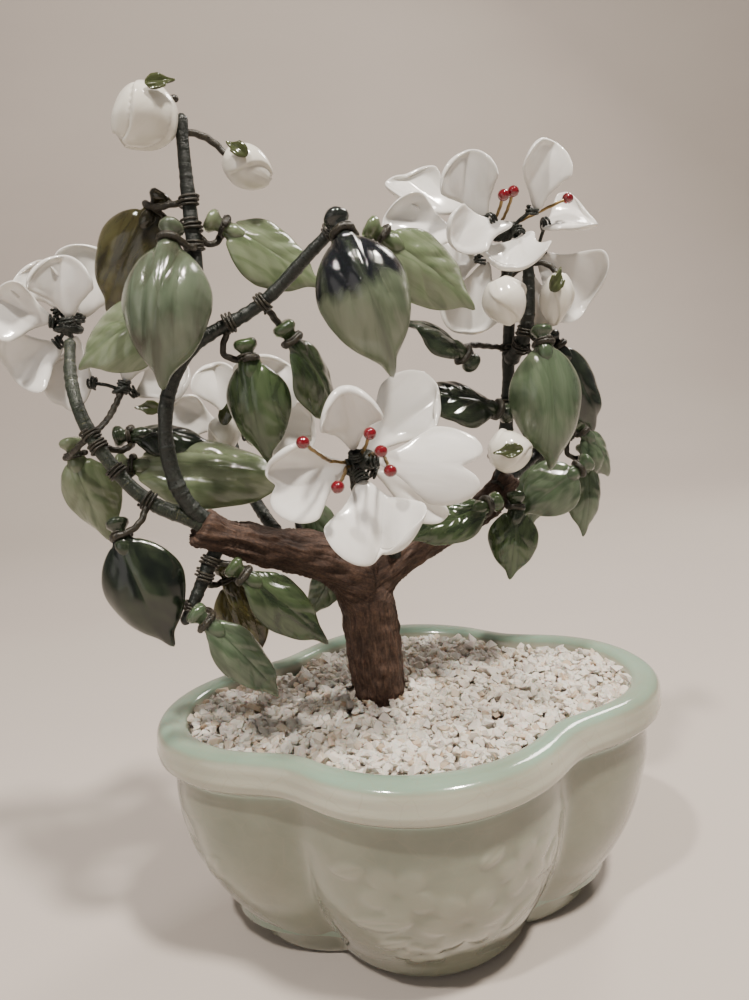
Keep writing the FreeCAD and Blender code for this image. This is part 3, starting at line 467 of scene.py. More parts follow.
def loose_look(seed):
    """Cup, lip and fold of a petal in the outer flowers, different for each seed."""
    rng = np.random.default_rng(seed)
    return rng.uniform(3.2, 6.0), rng.uniform(-60, 60), 55, rng.uniform(1.2, 3.0), rng.uniform(0, 1.4)


def petal_relief(seed, look):
    """Surface shape of one petal: cupped sides, a rolled lip, a slanting fold and hand-made ripples."""
    cup, lip_side, lip_spread, roll, fold = look

    def relief(along, across, rim):
        spots = np.stack([along * 2.2, across * 1.6, np.full_like(along, seed)], axis=1)
        level = cup * (across ** 2 * (0.4 + 0.6 * np.clip(along, 0, 1)) - 0.25)
        crease = across - 0.3 * math.sin(math.radians(lip_side)) + 0.5 * (along - 0.5)
        level -= fold * np.exp(-(crease / 0.24) ** 2) * np.clip(along * 1.6, 0, 1)
        return level + 0.5 * value_noise(spots, 0.9, seed + 3)

    def curl(turns):
        off = (turns - math.radians(lip_side) + math.pi) % (2 * math.pi) - math.pi
        return 0.25 * np.clip(np.cos(turns), 0, 1) + roll * np.exp(-(off / math.radians(lip_spread)) ** 2)

    return relief, curl


def build_petal(name, node, solid, heart, material, seed, look, thick=PETAL_THICK):
    spots = scatter(*solid, 9000, seed)
    centre, *axes = blade_axes(spots, spots.mean(0) - heart)
    axes = np.stack(axes)
    base = centre + axes[0] * ((spots - centre) @ axes[0]).min()
    local = (spots - base) @ axes.T
    if thick == PETAL_THICK:
        grow = PETAL_GROW.get(node, 1.12)
        root = np.clip(1 - 2 * local[:, 0] / np.ptp(local[:, 0]), 0, 1)
        local = local * np.array([1 + (grow - 1) / 3, grow, 1.0])
        local[:, 1] *= 1 + 0.35 * root
    span = np.ptp(local, axis=0)
    relief, curl = petal_relief(seed, look)
    points, faces, marks = blade_piece(local, thick, relief, PETAL_AROUND, span[1] / span[0], -0.3, curl)
    return make_piece(name, toned([(points @ axes + base, faces, marks)], seed), node, material)


def bud_shape(length, radius, seed):
    """Closed folded bud about local X: three overlapping petal edges wind up to the point."""
    shares = np.linspace(0, 1, 44)
    angles = np.linspace(0, 2 * math.pi, 96, endpoint=False)
    rings = []
    for share in shares:
        swell = math.sin(math.pi * (0.06 + 0.9 * share) ** 0.82) ** 0.62
        phase = (angles * 3 / (2 * math.pi) + 0.9 * share + 0.13 * np.sin(angles + seed)) % 1.0
        step = np.clip((1 - phase) / 0.12, 0, 1) * (0.25 + 0.75 * phase)
        around = radius * swell * (0.84 + 0.20 * step * min(1, 3 * share))
        lift = length * share + 0.07 * length * step * share
        rings.append(np.stack([lift, around * np.cos(angles), around * np.sin(angles)], axis=1))
    points = np.concatenate(rings)
    points = points * (1 + 0.03 * value_noise(points, 5 * MM, seed))[:, None]
    marks = {"along": np.repeat(shares, len(angles)), "across": np.tile(np.cos(angles), len(shares)),
             "rim": np.repeat(shares, len(angles)) * 0.6}
    return points, loft_faces(len(shares), len(angles)), marks


# breadth of a bud as a share of its CAD solid's, where it isn't 1
BUD_SHARE = {"bud_top": 0.93, "bud_side": 0.92}


def build_bud(name, node, solid, root, seed):
    spots = scatter(*solid, 4000, seed)
    centre = (spots.min(0) + spots.max(0)) / 2
    axis = unit(centre - root)
    reach = (spots - centre) @ axis
    radius = np.percentile(np.linalg.norm((spots - centre) - np.outer(reach, axis), axis=1), 93)
    radius *= BUD_SHARE.get(node, 1.0)
    side = unit(np.cross(axis, FRONT))
    axes = np.stack([axis, side, np.cross(axis, side)])
    points, faces, marks = bud_shape(np.ptp(reach), radius, seed)
    part = (points @ axes + centre + axis * reach.min(), faces, marks)
    return make_piece(name, toned([part], seed), node, "petal_cream")


# ------------------------------------------------------------------ materials
MATERIALS = {}


class Paint:
    """One procedural material, with short ways to add nodes to it."""

    def __init__(self, name):
        self.name = name
        self.material = bpy.data.materials.new(name)
        self.material.use_nodes = True
        self.tree = self.material.node_tree
        self.tree.nodes.clear()
        self.surface = self.tree.nodes.new("ShaderNodeBsdfPrincipled")
        output = self.tree.nodes.new("ShaderNodeOutputMaterial")
        self.tree.links.new(self.surface.outputs[0], output.inputs[0])

    def put(self, socket, value):
        """Links or sets one input; a colour is given without its alpha."""
        if isinstance(value, bpy.types.NodeSocket):
            self.tree.links.new(value, socket)
        elif socket.type == "RGBA":
            socket.default_value = (*value, 1.0)
        else:
            socket.default_value = value

    def add(self, kind, *values, **settings):
        """New node: values fill its inputs in order, and a setting is one of its fields or a named input."""
        node = self.tree.nodes.new("ShaderNode" + kind)
        inputs = {key: value for key, value in settings.items() if not hasattr(node, key)}
        for key in settings.keys() - inputs.keys():
            setattr(node, key, settings[key])
        for socket, value in zip(node.inputs, values):
            self.put(socket, value)
        for key, value in inputs.items():
            self.put(node.inputs[key], value)
        return node

    def read(self, name):
        """Value stored on the mesh under this name."""
        return self.add("Attribute", attribute_name=name).outputs["Fac"]

    def noise(self, scale, detail, place=None, **settings):
        if place is not None:
            settings["Vector"] = place
        return self.add("TexNoise", Scale=scale, Detail=detail, **settings).outputs["Fac"]

    def math(self, operation, *values):
        return self.add("Math", *values, operation=operation).outputs[0]

    def times(self, value, factor):
        return self.math("MULTIPLY", value, factor)

    def fit(self, value, low, high, new_low, new_high):
        """Value carried from one range to another and held at its ends."""
        return self.add("MapRange", value, low, high, new_low, new_high).outputs[0]

    def vector(self, *values):
        return self.add("CombineXYZ", *values).outputs[0]

    def ramp(self, factor, *stops):
        """Colour ramp through (position, colour) stops."""
        node = self.add("ValToRGB", factor)
        elements = node.color_ramp.elements
        while len(elements) < len(stops):
            elements.new(0.5)
        for element, (position, colour) in zip(elements, stops):
            element.position = position
            element.color = (*colour, 1.0)
        return node.outputs[0]

    def mix(self, factor, a, b):
        node = self.add("Mix", factor, data_type="RGBA")
        self.put(node.inputs[6], a)
        self.put(node.inputs[7], b)
        return node.outputs[2]

    def finish(self, bump=None, **inputs):
        """Sets the surface, with bump as (height, strength, distance), and keeps the material by its name."""
        if bump:
            inputs["Normal"] = self.add("Bump", Height=bump[0], Strength=bump[1], Distance=bump[2]).outputs[0]
        for key, value in inputs.items():
            self.put(self.surface.inputs[key.replace("_", " ")], value)
        MATERIALS[self.name] = self.material


def blend(share, a, b):
    return tuple(share * x + (1 - share) * y for x, y in zip(a, b))


def streaks(paint, wide, long, lean):
    """Place for noise drawn out along a blade and bent like side veins, with one pattern per piece."""
    across = paint.read("across")
    along = paint.math("MULTIPLY_ADD", paint.math("ABSOLUTE", across), -lean, paint.read("along"))
    pattern = paint.times(paint.read("tone"), 37.0)
    return paint.vector(paint.times(across, wide), paint.times(along, long), pattern)


def leaf_material(name, pale, mid, dark, dark_share, tip_light=False):
    """Jade glass: pale body with darker green threads and swirls, lighter rim, clear gloss."""
    paint = Paint(name)
    fine = paint.noise(1.1, 4.0, streaks(paint, 3.2, 1.3, 0.5), Distortion=0.8)
    depth = paint.noise(1.0, 3.0, streaks(paint, 1.5, 1.8, 0.3), Distortion=1.4)
    soft_dark = blend(0.55, mid, dark)
    threads = paint.ramp(fine, (0.28, soft_dark), (0.42, mid), (0.52, blend(0.6, pale, mid)), (0.72, pale))
    if tip_light:
        depth = paint.math("ADD", depth, paint.fit(paint.read("along"), 0.38, 0.56, 0.36, -0.25))
    start = 0.56 - dark_share * 0.35
    colour = paint.mix(paint.fit(depth, start, start + 0.30, 0.0, 1.0), threads, dark)
    midrib = paint.fit(paint.math("ABSOLUTE", paint.read("across")), 0.0, 0.10, 0.6, 0.0)
    colour = paint.mix(midrib, colour, soft_dark)
    colour = paint.mix(paint.fit(paint.read("rim"), 0.93, 1.0, 0.0, 0.35), colour, pale)
    height = paint.math("ADD", paint.times(fine, 0.5), paint.times(paint.noise(900.0, 2.0), 0.08))
    paint.finish((height, 0.25, 0.0006), Base_Color=colour, Roughness=0.09, IOR=1.5,
                 Subsurface_Weight=0.30, Subsurface_Radius=(0.7, 1.0, 0.6), Subsurface_Scale=0.0014,
                 Transmission_Weight=0.42, Coat_Weight=0.4, Coat_Roughness=0.03)


def petal_material(name, body, thin_edge, warm):
    """White opal glass: milky, faintly streaked, warmer and clearer at thin edges."""
    paint = Paint(name)
    cloud = paint.noise(1.2, 3.0, streaks(paint, 1.6, 1.2, 0.2), Distortion=0.5)
    colour = paint.ramp(cloud, (0.25, blend(0.55, body, warm)), (0.50, body))
    colour = paint.mix(paint.fit(paint.read("rim"), 0.85, 1.0, 0.0, 0.5), colour, thin_edge)
    specks = paint.fit(paint.noise(1500.0, 3.0), 0.70, 0.76, 0.0, 0.25)
    colour = paint.mix(specks, colour, (0.45, 0.42, 0.38))
    paint.finish((cloud, 0.18, 0.0007), Base_Color=colour, Roughness=0.14, IOR=1.5,
                 Subsurface_Weight=0.35, Subsurface_Radius=(1.0, 0.95, 0.85), Subsurface_Scale=0.0012,
                 Coat_Weight=0.4, Coat_Roughness=0.05)


def tape_material(name, light, dark, gilt_and_painted_glint):
    """Glossy floral tape stretched along a wire: dark, with a few cracks and creases round it; its lightest
    colour is a painted glint, and on branch_gilt also the gilt thread.
    """
    paint = Paint(name)
    place = paint.vector(paint.times(paint.read("along"), 1.4), paint.times(paint.read("turn"), 0.45))
    crease = paint.noise(1.0, 5.0, place, Roughness=0.7, Distortion=0.6)
    cloud = paint.noise(90.0, 4.0)
    tone = paint.math("MULTIPLY_ADD", crease, 0.6, paint.times(cloud, 0.5))
    # painted highlight: the last stop is a glint colour painted on the highest parts of the crease and cloud
    # pattern; on branch_gilt it is the gilt thread
    colour = paint.ramp(tone, (0.42, dark), (0.62, light), (0.80, gilt_and_painted_glint))
    shine = paint.fit(cloud, 0.35, 0.65, 0.26, 0.50)
    paint.finish((crease, 0.8, 0.0005), Base_Color=colour, Roughness=shine, Coat_Weight=0.12,
                 Coat_Roughness=0.2)


def metal_material(name, colour, dull):
    paint = Paint(name)
    wear = paint.noise(700.0, 4.0, Roughness=0.6)
    tone = paint.ramp(wear, (0.35, dull), (0.6, colour))
    shine = paint.fit(wear, 0.3, 0.7, 0.5, 0.22)
    paint.finish((wear, 0.3, 0.0001), Base_Color=tone, Metallic=0.9, Roughness=shine)


def bark_material():
    """Brown crepe paper creased lengthwise: fibres follow each limb, and painted shade darkens the hollows of
    the creases.
    """
    paint = Paint("bark_wrap")
    side = paint.times(paint.read("fibre_side"), 1.5)
    along = paint.times(paint.read("fibre_along"), 0.16)
    fibres = paint.noise(1.0, 7.0, paint.vector(side, along), Roughness=0.7, Distortion=0.5)
    blotch = paint.noise(120.0, 4.0, Roughness=0.6)
    tone = paint.math("MULTIPLY_ADD", blotch, 0.45, paint.times(fibres, 0.7))
    colour = paint.ramp(tone, (0.36, (0.014, 0.008, 0.006)), (0.52, (0.048, 0.026, 0.018)),
                        (0.66, (0.105, 0.058, 0.038)), (0.82, (0.20, 0.12, 0.075)))
    # painted shade: the sunken hollows of the crease relief are darkened towards near-black
    colour = paint.mix(paint.fit(paint.read("crease"), -1.0, 0.6, 0.75, 0.0), colour, (0.012, 0.007, 0.005))
    paint.finish((fibres, 1.0, 0.0007), Base_Color=colour, Roughness=0.62, Specular_IOR_Level=0.4)


def stone_material(name, *stops):
    """Broken marble: one tone per chip, with grain and tiny sparkling facets."""
    paint = Paint(name)
    grain = paint.noise(1100.0, 5.0, Roughness=0.7)
    colour = paint.mix(paint.times(grain, 0.2), paint.ramp(paint.read("tone"), *stops), (0.50, 0.43, 0.36))
    paint.finish((grain, 0.6, 0.0003), Base_Color=colour, Roughness=0.62, Subsurface_Weight=0.15,
                 Subsurface_Scale=0.001)


def celadon_material():
    """Pale green crackle glaze: pooled green in hollows and on the rim, cream where it runs thin on edges, and
    painted shade darkening it towards the foot.
    """
    paint = Paint("celadon")
    place = paint.add("TexCoord").outputs["Object"]
    cloud = paint.noise(38.0, 4.0, place, Roughness=0.55)
    colour = paint.ramp(cloud, (0.35, (0.200, 0.200, 0.145)), (0.65, (0.275, 0.275, 0.205)))
    # painted shade: the glaze colour is darkened towards the foot, most at the bottom and fading out 6 cm up
    painted_foot_shade = paint.fit(paint.add("SeparateXYZ", place).outputs["Z"], 0.0, 0.06, 0.35, 0.0)
    for share, tint in ((painted_foot_shade, (0.125, 0.125, 0.085)), (paint.read("pool"), (0.25, 0.37, 0.28)),
                        (paint.read("bare"), (0.52, 0.505, 0.41)), (paint.read("relief"), (0.40, 0.40, 0.32))):
        colour = paint.mix(share, colour, tint)
    warp = paint.add("TexNoise", Vector=place, Scale=60.0, Detail=2.0).outputs["Color"]
    crack_place = paint.add("VectorMath", warp, (0.01, 0.01, 0.01), place, operation="MULTIPLY_ADD").outputs[0]
    cells = paint.add("TexVoronoi", feature="DISTANCE_TO_EDGE", Vector=crack_place, Scale=95.0)
    crack = paint.fit(cells.outputs["Distance"], 0.0, 0.022, 0.22, 0.0)
    colour = paint.mix(crack, colour, (0.30, 0.27, 0.20))
    speck = paint.add("TexVoronoi", Vector=place, Scale=150.0)
    dots = paint.fit(speck.outputs["Distance"], 0.03, 0.055, 0.5, 0.0)
    rare = paint.fit(speck.outputs["Color"], 0.80, 0.82, 0.0, 1.0)
    colour = paint.mix(paint.times(dots, rare), colour, (0.10, 0.08, 0.05))
    height = paint.math("SUBTRACT", paint.noise(420.0, 2.0, place), crack)
    paint.finish((height, 0.10, 0.0004), Base_Color=colour, Roughness=0.13, IOR=1.5, Coat_Weight=0.8,
                 Coat_Roughness=0.05, Subsurface_Weight=0.12, Subsurface_Scale=0.002)


def bead_material():
    paint = Paint("bead_glass")
    tone = paint.ramp(paint.noise(500.0, 2.0), (0.35, (0.11, 0.0, 0.006)), (0.65, (0.30, 0.005, 0.014)))
    paint.finish(Base_Color=tone, Roughness=0.07, IOR=1.52, Transmission_Weight=0.25, Coat_Weight=1.0)


def plaster_material(name, pale, dark):
    paint = Paint(name)
    grain = paint.noise(400.0, 5.0)
    tone = paint.ramp(grain, (0.3, dark), (0.7, pale))
    paint.finish((grain, 0.4, 0.0004), Base_Color=tone, Roughness=0.85)


leaf_material("leaf_pale", (0.175, 0.225, 0.145), (0.115, 0.165, 0.095), (0.035, 0.058, 0.030), 0.2)
leaf_material("leaf_heart", (0.21, 0.26, 0.18), (0.14, 0.185, 0.12), (0.050, 0.036, 0.018), 0.1)
leaf_material("leaf_light", (0.275, 0.325, 0.205), (0.18, 0.23, 0.125), (0.07, 0.11, 0.045), 0.0)
leaf_material("leaf_green", (0.105, 0.15, 0.070), (0.060, 0.095, 0.040), (0.014, 0.024, 0.012), 0.3)
leaf_material("leaf_olive", (0.145, 0.135, 0.050), (0.075, 0.065, 0.022), (0.016, 0.012, 0.005), 0.4)
leaf_material("leaf_dark", (0.060, 0.082, 0.045), (0.026, 0.040, 0.020), (0.006, 0.010, 0.007), 0.6)
leaf_material("leaf_two_tone", (0.235, 0.275, 0.19), (0.15, 0.19, 0.12), (0.010, 0.012, 0.016), 0.1, True)
petal_material("petal_white", (0.79, 0.775, 0.745), (0.62, 0.60, 0.565), (0.64, 0.615, 0.575))
petal_material("petal_cream", (0.76, 0.73, 0.655), (0.66, 0.63, 0.545), (0.62, 0.575, 0.47))
petal_material("sepal_glass", (0.045, 0.055, 0.020), (0.07, 0.08, 0.03), (0.03, 0.034, 0.014))
# the third colour of each tape is a painted glint; for branch_gilt it is also the colour of its gilt thread
tape_material("branch_tape", (0.009, 0.014, 0.010), (0.003, 0.005, 0.004), (0.035, 0.048, 0.032))
tape_material("branch_gilt", (0.022, 0.032, 0.018), (0.006, 0.010, 0.006), (0.20, 0.19, 0.08))
tape_material("twig_wire", (0.026, 0.021, 0.011), (0.007, 0.006, 0.004), (0.09, 0.07, 0.03))
tape_material("heart_tape", (0.010, 0.015, 0.010), (0.003, 0.005, 0.003), (0.032, 0.040, 0.024))
metal_material("stamen_wire", (0.36, 0.25, 0.11), (0.10, 0.065, 0.03))
metal_material("rod_steel", (0.45, 0.45, 0.44), (0.2, 0.2, 0.2))
bead_material()
bark_material()
celadon_material()
plaster_material("plaster", (0.75, 0.74, 0.70), (0.6, 0.59, 0.55))
plaster_material("gravel_bed", (0.50, 0.45, 0.39), (0.28, 0.24, 0.20))
stone_material("gravel", (0.0, (0.70, 0.65, 0.58)), (0.45, (0.80, 0.76, 0.70)), (0.82, (0.74, 0.66, 0.56)),
               (0.95, (0.55, 0.42, 0.29)), (1.0, (0.82, 0.80, 0.76)))
NECKS = []
PETAL_GRIPS = []


# ------------------------------------------------------------------ pot, gravel and trunk
def remeshed(node, voxel, passes):
    """Even dense copy of a CAD node's surface as point and face arrays."""
    source = bpy.data.objects.new("source", NODES[node].data.copy())
    bpy.context.scene.collection.objects.link(source)
    grid = source.modifiers.new("grid", "REMESH")
    grid.mode = "VOXEL"
    grid.voxel_size = voxel * MM
    soften = source.modifiers.new("soften", "SMOOTH")
    soften.factor = 0.5
    soften.iterations = passes
    shape = source.evaluated_get(bpy.context.evaluated_depsgraph_get()).to_mesh()
    points = np.empty(len(shape.vertices) * 3)
    shape.vertices.foreach_get("co", points)
    normals = np.empty(len(shape.vertices) * 3)
    shape.vertices.foreach_get("normal", normals)
    faces = [tuple(face.vertices) for face in shape.polygons]
    bpy.data.objects.remove(source)
    return points.reshape(-1, 3), normals.reshape(-1, 3), faces


def rosette(u, v, u0, v0, size, petals, spin):
    """Height of a moulded blossom on a flat field, 0 outside and 1 on its petals."""
    r = np.hypot(u - u0, v - v0) / size
    angle = np.arctan2(v - v0, u - u0) + spin
    limit = 0.62 + 0.38 * np.abs(np.cos(angle * petals / 2))
    body = 1 / (1 + np.exp(-(limit - r) * 14))
    return body * (0.55 + 0.45 * np.clip(r * 1.6, 0, 1)) - 0.5 * np.exp(-(r / 0.18) ** 2)


def sprig(u, v, u0, v0, u1, v1, width):
    """Height of a moulded leaf between two points."""
    axis = np.array([u1 - u0, v1 - v0])
    length = np.linalg.norm(axis)
    along = ((u - u0) * axis[0] + (v - v0) * axis[1]) / length ** 2
    side = np.abs((u - u0) * axis[1] - (v - v0) * axis[0]) / length
    limit = width * np.sin(math.pi * np.clip(along, 0, 1)) ** 0.8
    inside = (np.clip(along, 0, 1) == along) / (1 + np.exp(-(limit - side) / (0.12 * width)))
    return inside * (0.6 + 0.4 * np.clip(side / (0.3 * width), 0, 1))


def wall_radius(height, angles, inside):
    """Distance from the pot's axis to its CAD wall at one height, for each angle."""
    cad = NODES["pot"]
    found = []
    for angle in angles:
        heading = Vector((math.cos(angle), math.sin(angle), 0.0))
        start = Vector((0, 0, height)) if inside else heading * 0.2 + Vector((0, 0, height))
        hit, spot, _, _ = cad.ray_cast(start, heading if inside else -heading)
        found.append(math.hypot(spot.x, spot.y) if hit else np.nan)
    return np.array(found) / MM


def blurred(radius, spread):
    """Radius with its notches rounded over a spread of angle in degrees."""
    steps = len(radius)
    reach = np.minimum(np.arange(steps), steps - np.arange(steps)) * 360.0 / steps
    kernel = np.exp(-(reach / spread) ** 2 / 2)
    kernel /= kernel.sum()
    return np.real(np.fft.ifft(np.fft.fft(radius) * np.fft.fft(kernel)))


# moulded blossoms (place across the face, height, size, petals, turn) and leaves (both ends, breadth), in mm
END_FIELD = 200                # places on the pot's two ends are this far to the side of those on its faces
BLOSSOMS = ((-14, 42, 10, 5, 0.3), (4, 30, 12, 6, 0.0), (22, 43, 9, 5, 0.9), (-8, 16, 7, 5, 0.5),
            (203, 40, 10, 5, 0.2), (-203, 38, 10, 5, 0.7), (196, 22, 7, 5, 0.4), (-196, 20, 7, 5, 0.1))
SPRIGS = ((-27, 28, -10, 33, 3.4), (15, 20, 28, 30, 3.4), (-31, 45, -22, 50, 2.8), (8, 49, 15, 54, 2.6),
          (-20, 18, -11, 25, 2.6), (30, 34, 34, 44, 2.6), (214, 28, 220, 40, 2.8), (-214, 28, -221, 40, 2.8))


def moulded_relief(u, z):
    """Height of the worn blossoms and leaves on the faces and ends of the pot."""
    relief = sum(rosette(u, z, *row) for row in BLOSSOMS) + sum(sprig(u, z, *row) for row in SPRIGS)
    return np.clip(relief, -0.5, 1.2)


# rows of the outside of the pot: share of the height, offset outwards in mm, notch rounding in degrees
OUTSIDE = [(0.0, -0.8, 2.0), (0.012, 0.0, 2.0), (0.06, 0.0, 1.6), (0.40, -0.3, 1.6), (0.66, -0.9, 3.0),
           (0.78, -2.0, 4.0), (0.815, -2.7, 5.0), (0.832, -2.0, 5.5), (0.845, -0.6, 6.0), (0.865, 0.2, 6.5),
           (0.89, 0.0, 7.0), (0.92, -0.7, 7.0)]
RIM_CREST = 0.985
INSIDE_TOP = 0.93
INSIDE_FLOOR = 0.12


def pot():
    """Glazed pot: the CAD wall with a rolled lip over a sharp ledge, rounded notches and moulded relief."""
    height = POT_TOP / MM
    around = 480
    angles = np.linspace(0, 2 * math.pi, around, endpoint=False)
    shares = np.concatenate([np.linspace(0, 0.06, 5), np.linspace(0.06, 0.72, 84)[1:],
                             np.linspace(0.72, OUTSIDE[-1][0], 34)[1:]])
    table = np.array(OUTSIDE).T
    offset = np.interp(shares, table[0], table[1])
    spread = np.interp(shares, table[0], table[2])
    samples = np.linspace(0.005, 0.925, 32)
    walls = np.stack([wall_radius(share * POT_TOP, angles, False) for share in samples])
    rows = []
    for share, out, blur in zip(shares, offset, spread):
        place = np.clip((share - samples[0]) / (samples[1] - samples[0]), 0, len(samples) - 1.001)
        low = int(place)
        radius = walls[low] + (walls[low + 1] - walls[low]) * (place - low)
        rows.append((np.full(around, share * height), blurred(radius, blur) + out, 0))
    outer = rows[-1][1]
    inner = blurred(wall_radius(INSIDE_TOP * POT_TOP, angles, True), 6.0)
    middle, half = (outer + inner) / 2, (outer - inner) / 2
    for turn in np.linspace(0, math.pi, 20)[1:-1]:
        rise = math.sin(turn) ** 0.75 * (1.06 - 0.06 * math.cos(turn))
        lift = (OUTSIDE[-1][0] + (RIM_CREST - OUTSIDE[-1][0]) * rise) * height
        reach = half * math.copysign(abs(math.cos(turn)) ** 0.8, math.cos(turn))
        rows.append((np.full(around, lift), middle + reach, 1))
    for share in np.linspace(INSIDE_TOP, INSIDE_FLOOR, 14):
        rows.append((np.full(around, share * height), inner - 10.0 * (INSIDE_TOP - share), 2))
    z = np.concatenate([row[0] for row in rows])
    r = np.concatenate([row[1] for row in rows])
    kind = np.repeat([row[2] for row in rows], around)
    turn = np.tile(angles, len(rows))
    x, y = r * np.cos(turn), r * np.sin(turn)
    front = np.abs(y) * 1.4 > np.abs(x) * 0.9
    u = np.where(front, x, y + np.sign(x) * END_FIELD)
    field = np.clip((z - 8) / 6, 0, 1) * np.clip((56 - z) / 5, 0, 1) * (kind == 0)
    relief = moulded_relief(u, z) * field
    spots = np.stack([x, y, z], axis=1)
    wobble = 0.30 * value_noise(spots, 26, 2.0) + 0.10 * value_noise(spots, 8, 4.0)
    r = r + (relief * 0.5 + wobble * (z > 1.5)) * (kind < 2)
    z = z + 0.35 * value_noise(spots, 30, 9.0) * (kind > 0)
    points = np.stack([r * np.cos(turn), r * np.sin(turn), z], axis=1) * MM
    faces = loft_faces(len(rows), around)
    share = z / height
    patches = 0.5 + 0.5 * value_noise(spots, 16, 7.0)
    outside, lip, inside = (kind == index for index in range(3))
    flat_top = lip * np.clip((share - 0.965) / 0.01, 0, 1)
    ledge = outside * np.exp(-((share - 0.82) / 0.018) ** 2)
    foot = outside * np.exp(-((share - 0.012) / 0.012) ** 2)
    edge = outside * np.clip((share - 0.84) / 0.02, 0, 1) + lip * np.clip((0.975 - share) / 0.02, 0, 1)
    pool = 0.85 * flat_top * (0.6 + 0.4 * patches) + 0.5 * ledge + 0.75 * inside + 0.18 * patches
    bare = edge * (0.35 + 0.45 * patches) + 0.5 * foot
    marks = {"pool": np.clip(pool, 0, 1), "bare": np.clip(bare, 0, 1), "relief": np.clip(relief, 0, 1) * 0.45}
    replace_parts(make_piece("glazed_pot", [(points, faces, marks)], "pot", "celadon"), "pot")


CHIPS = 4200
CHIP_SIZES = (1.3, 1.8, 2.3, 3.0)
CHIP_SHARES = (0.25, 0.35, 0.27, 0.13)


def chip_template(rng):
    """Corners and faces of one broken chip: the hull of a few random points."""
    shell = bmesh.new()
    for point in rng.normal(size=(13, 3)):
        shell.verts.new(unit(point) * rng.uniform(0.75, 1.0, 3) * [1.0, 0.78, 0.6])
    made = bmesh.ops.convex_hull(shell, input=shell.verts)
    spare = [item for item in made["geom_unused"] if isinstance(item, bmesh.types.BMVert)]
    bmesh.ops.delete(shell, geom=spare, context="VERTS")
    shell.verts.index_update()
    corners = np.array([vert.co for vert in shell.verts])
    faces = [tuple(vert.index for vert in face.verts) for face in shell.faces]
    shell.free()
    return corners, faces


def gravel():
    """Loose marble chips heaped a little round the trunk."""
    rng = np.random.default_rng(11)
    shapes = [chip_template(rng) for _ in range(16)]
    low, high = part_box("gravel_bed")
    bed = NODES["gravel_bed"]
    reach = 2.4 * MM
    parts = []
    wanted = CHIPS
    while len(parts) < wanted:
        x, y = rng.uniform(low[0], high[0]), rng.uniform(low[1], high[1])
        inside = all(bed.ray_cast(Vector((x + dx, y + dy, high[2] + 0.01)), Vector((0, 0, -1)))[0]
                     for dx, dy in ((reach, 0), (-reach, 0), (0, reach), (0, -reach)))
        from_trunk = math.hypot(x - TRUNK_FOOT[0], y - TRUNK_FOOT[1])
        if not inside or from_trunk < 6.4 * MM:
            continue
        corners, faces = shapes[rng.integers(len(shapes))]
        size = rng.choice(CHIP_SIZES, p=CHIP_SHARES) * rng.uniform(0.85, 1.15) * MM
        turn = Matrix.Rotation(rng.uniform(0, 6.28), 3, "Z")
        for axis in "XY":
            turn = turn @ Matrix.Rotation(rng.normal(0, 0.5), 3, axis)
        mound = 0.8 * MM * value_noise(np.array([[x, y, 0.0]]), 22 * MM, 3.0)[0]
        heap = 1.6 * MM * math.exp(-(from_trunk / (16 * MM)) ** 2)
        lift = GRAVEL_TOP + rng.uniform(0.2, 2.4) * MM + mound + heap
        points = corners @ np.array(turn).T * size + np.array([x, y, lift])
        parts.append((points, faces, {"tone": np.full(len(points), rng.random())}))
    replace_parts(make_piece("gravel_loose", parts, "gravel_chips", "gravel", smooth=False), "gravel_chips")


def nearest_on(line, points):
    """For each point: distance along a polyline, side angle round it and distance from it."""
    length = distances(line)
    best = np.full(len(points), 1e9)
    along = np.zeros(len(points))
    foot = np.zeros_like(points)
    heading = np.zeros_like(points)
    for index in range(len(line) - 1):
        step = line[index + 1] - line[index]
        share = np.clip(((points - line[index]) @ step) / step.dot(step), 0, 1)
        spot = line[index] + share[:, None] * step
        gap = np.linalg.norm(points - spot, axis=1)
        closer = gap < best
        best[closer] = gap[closer]
        along[closer] = (length[index] + share * np.linalg.norm(step))[closer]
        foot[closer] = spot[closer]
        heading[closer] = unit(step)
    side = np.cross(heading, np.array([0.3, 1.0, 0.2]))
    side /= np.linalg.norm(side, axis=1)[:, None]
    other = np.cross(heading, side)
    arm = points - foot
    return along, np.arctan2((arm * other).sum(1), (arm * side).sum(1)), best


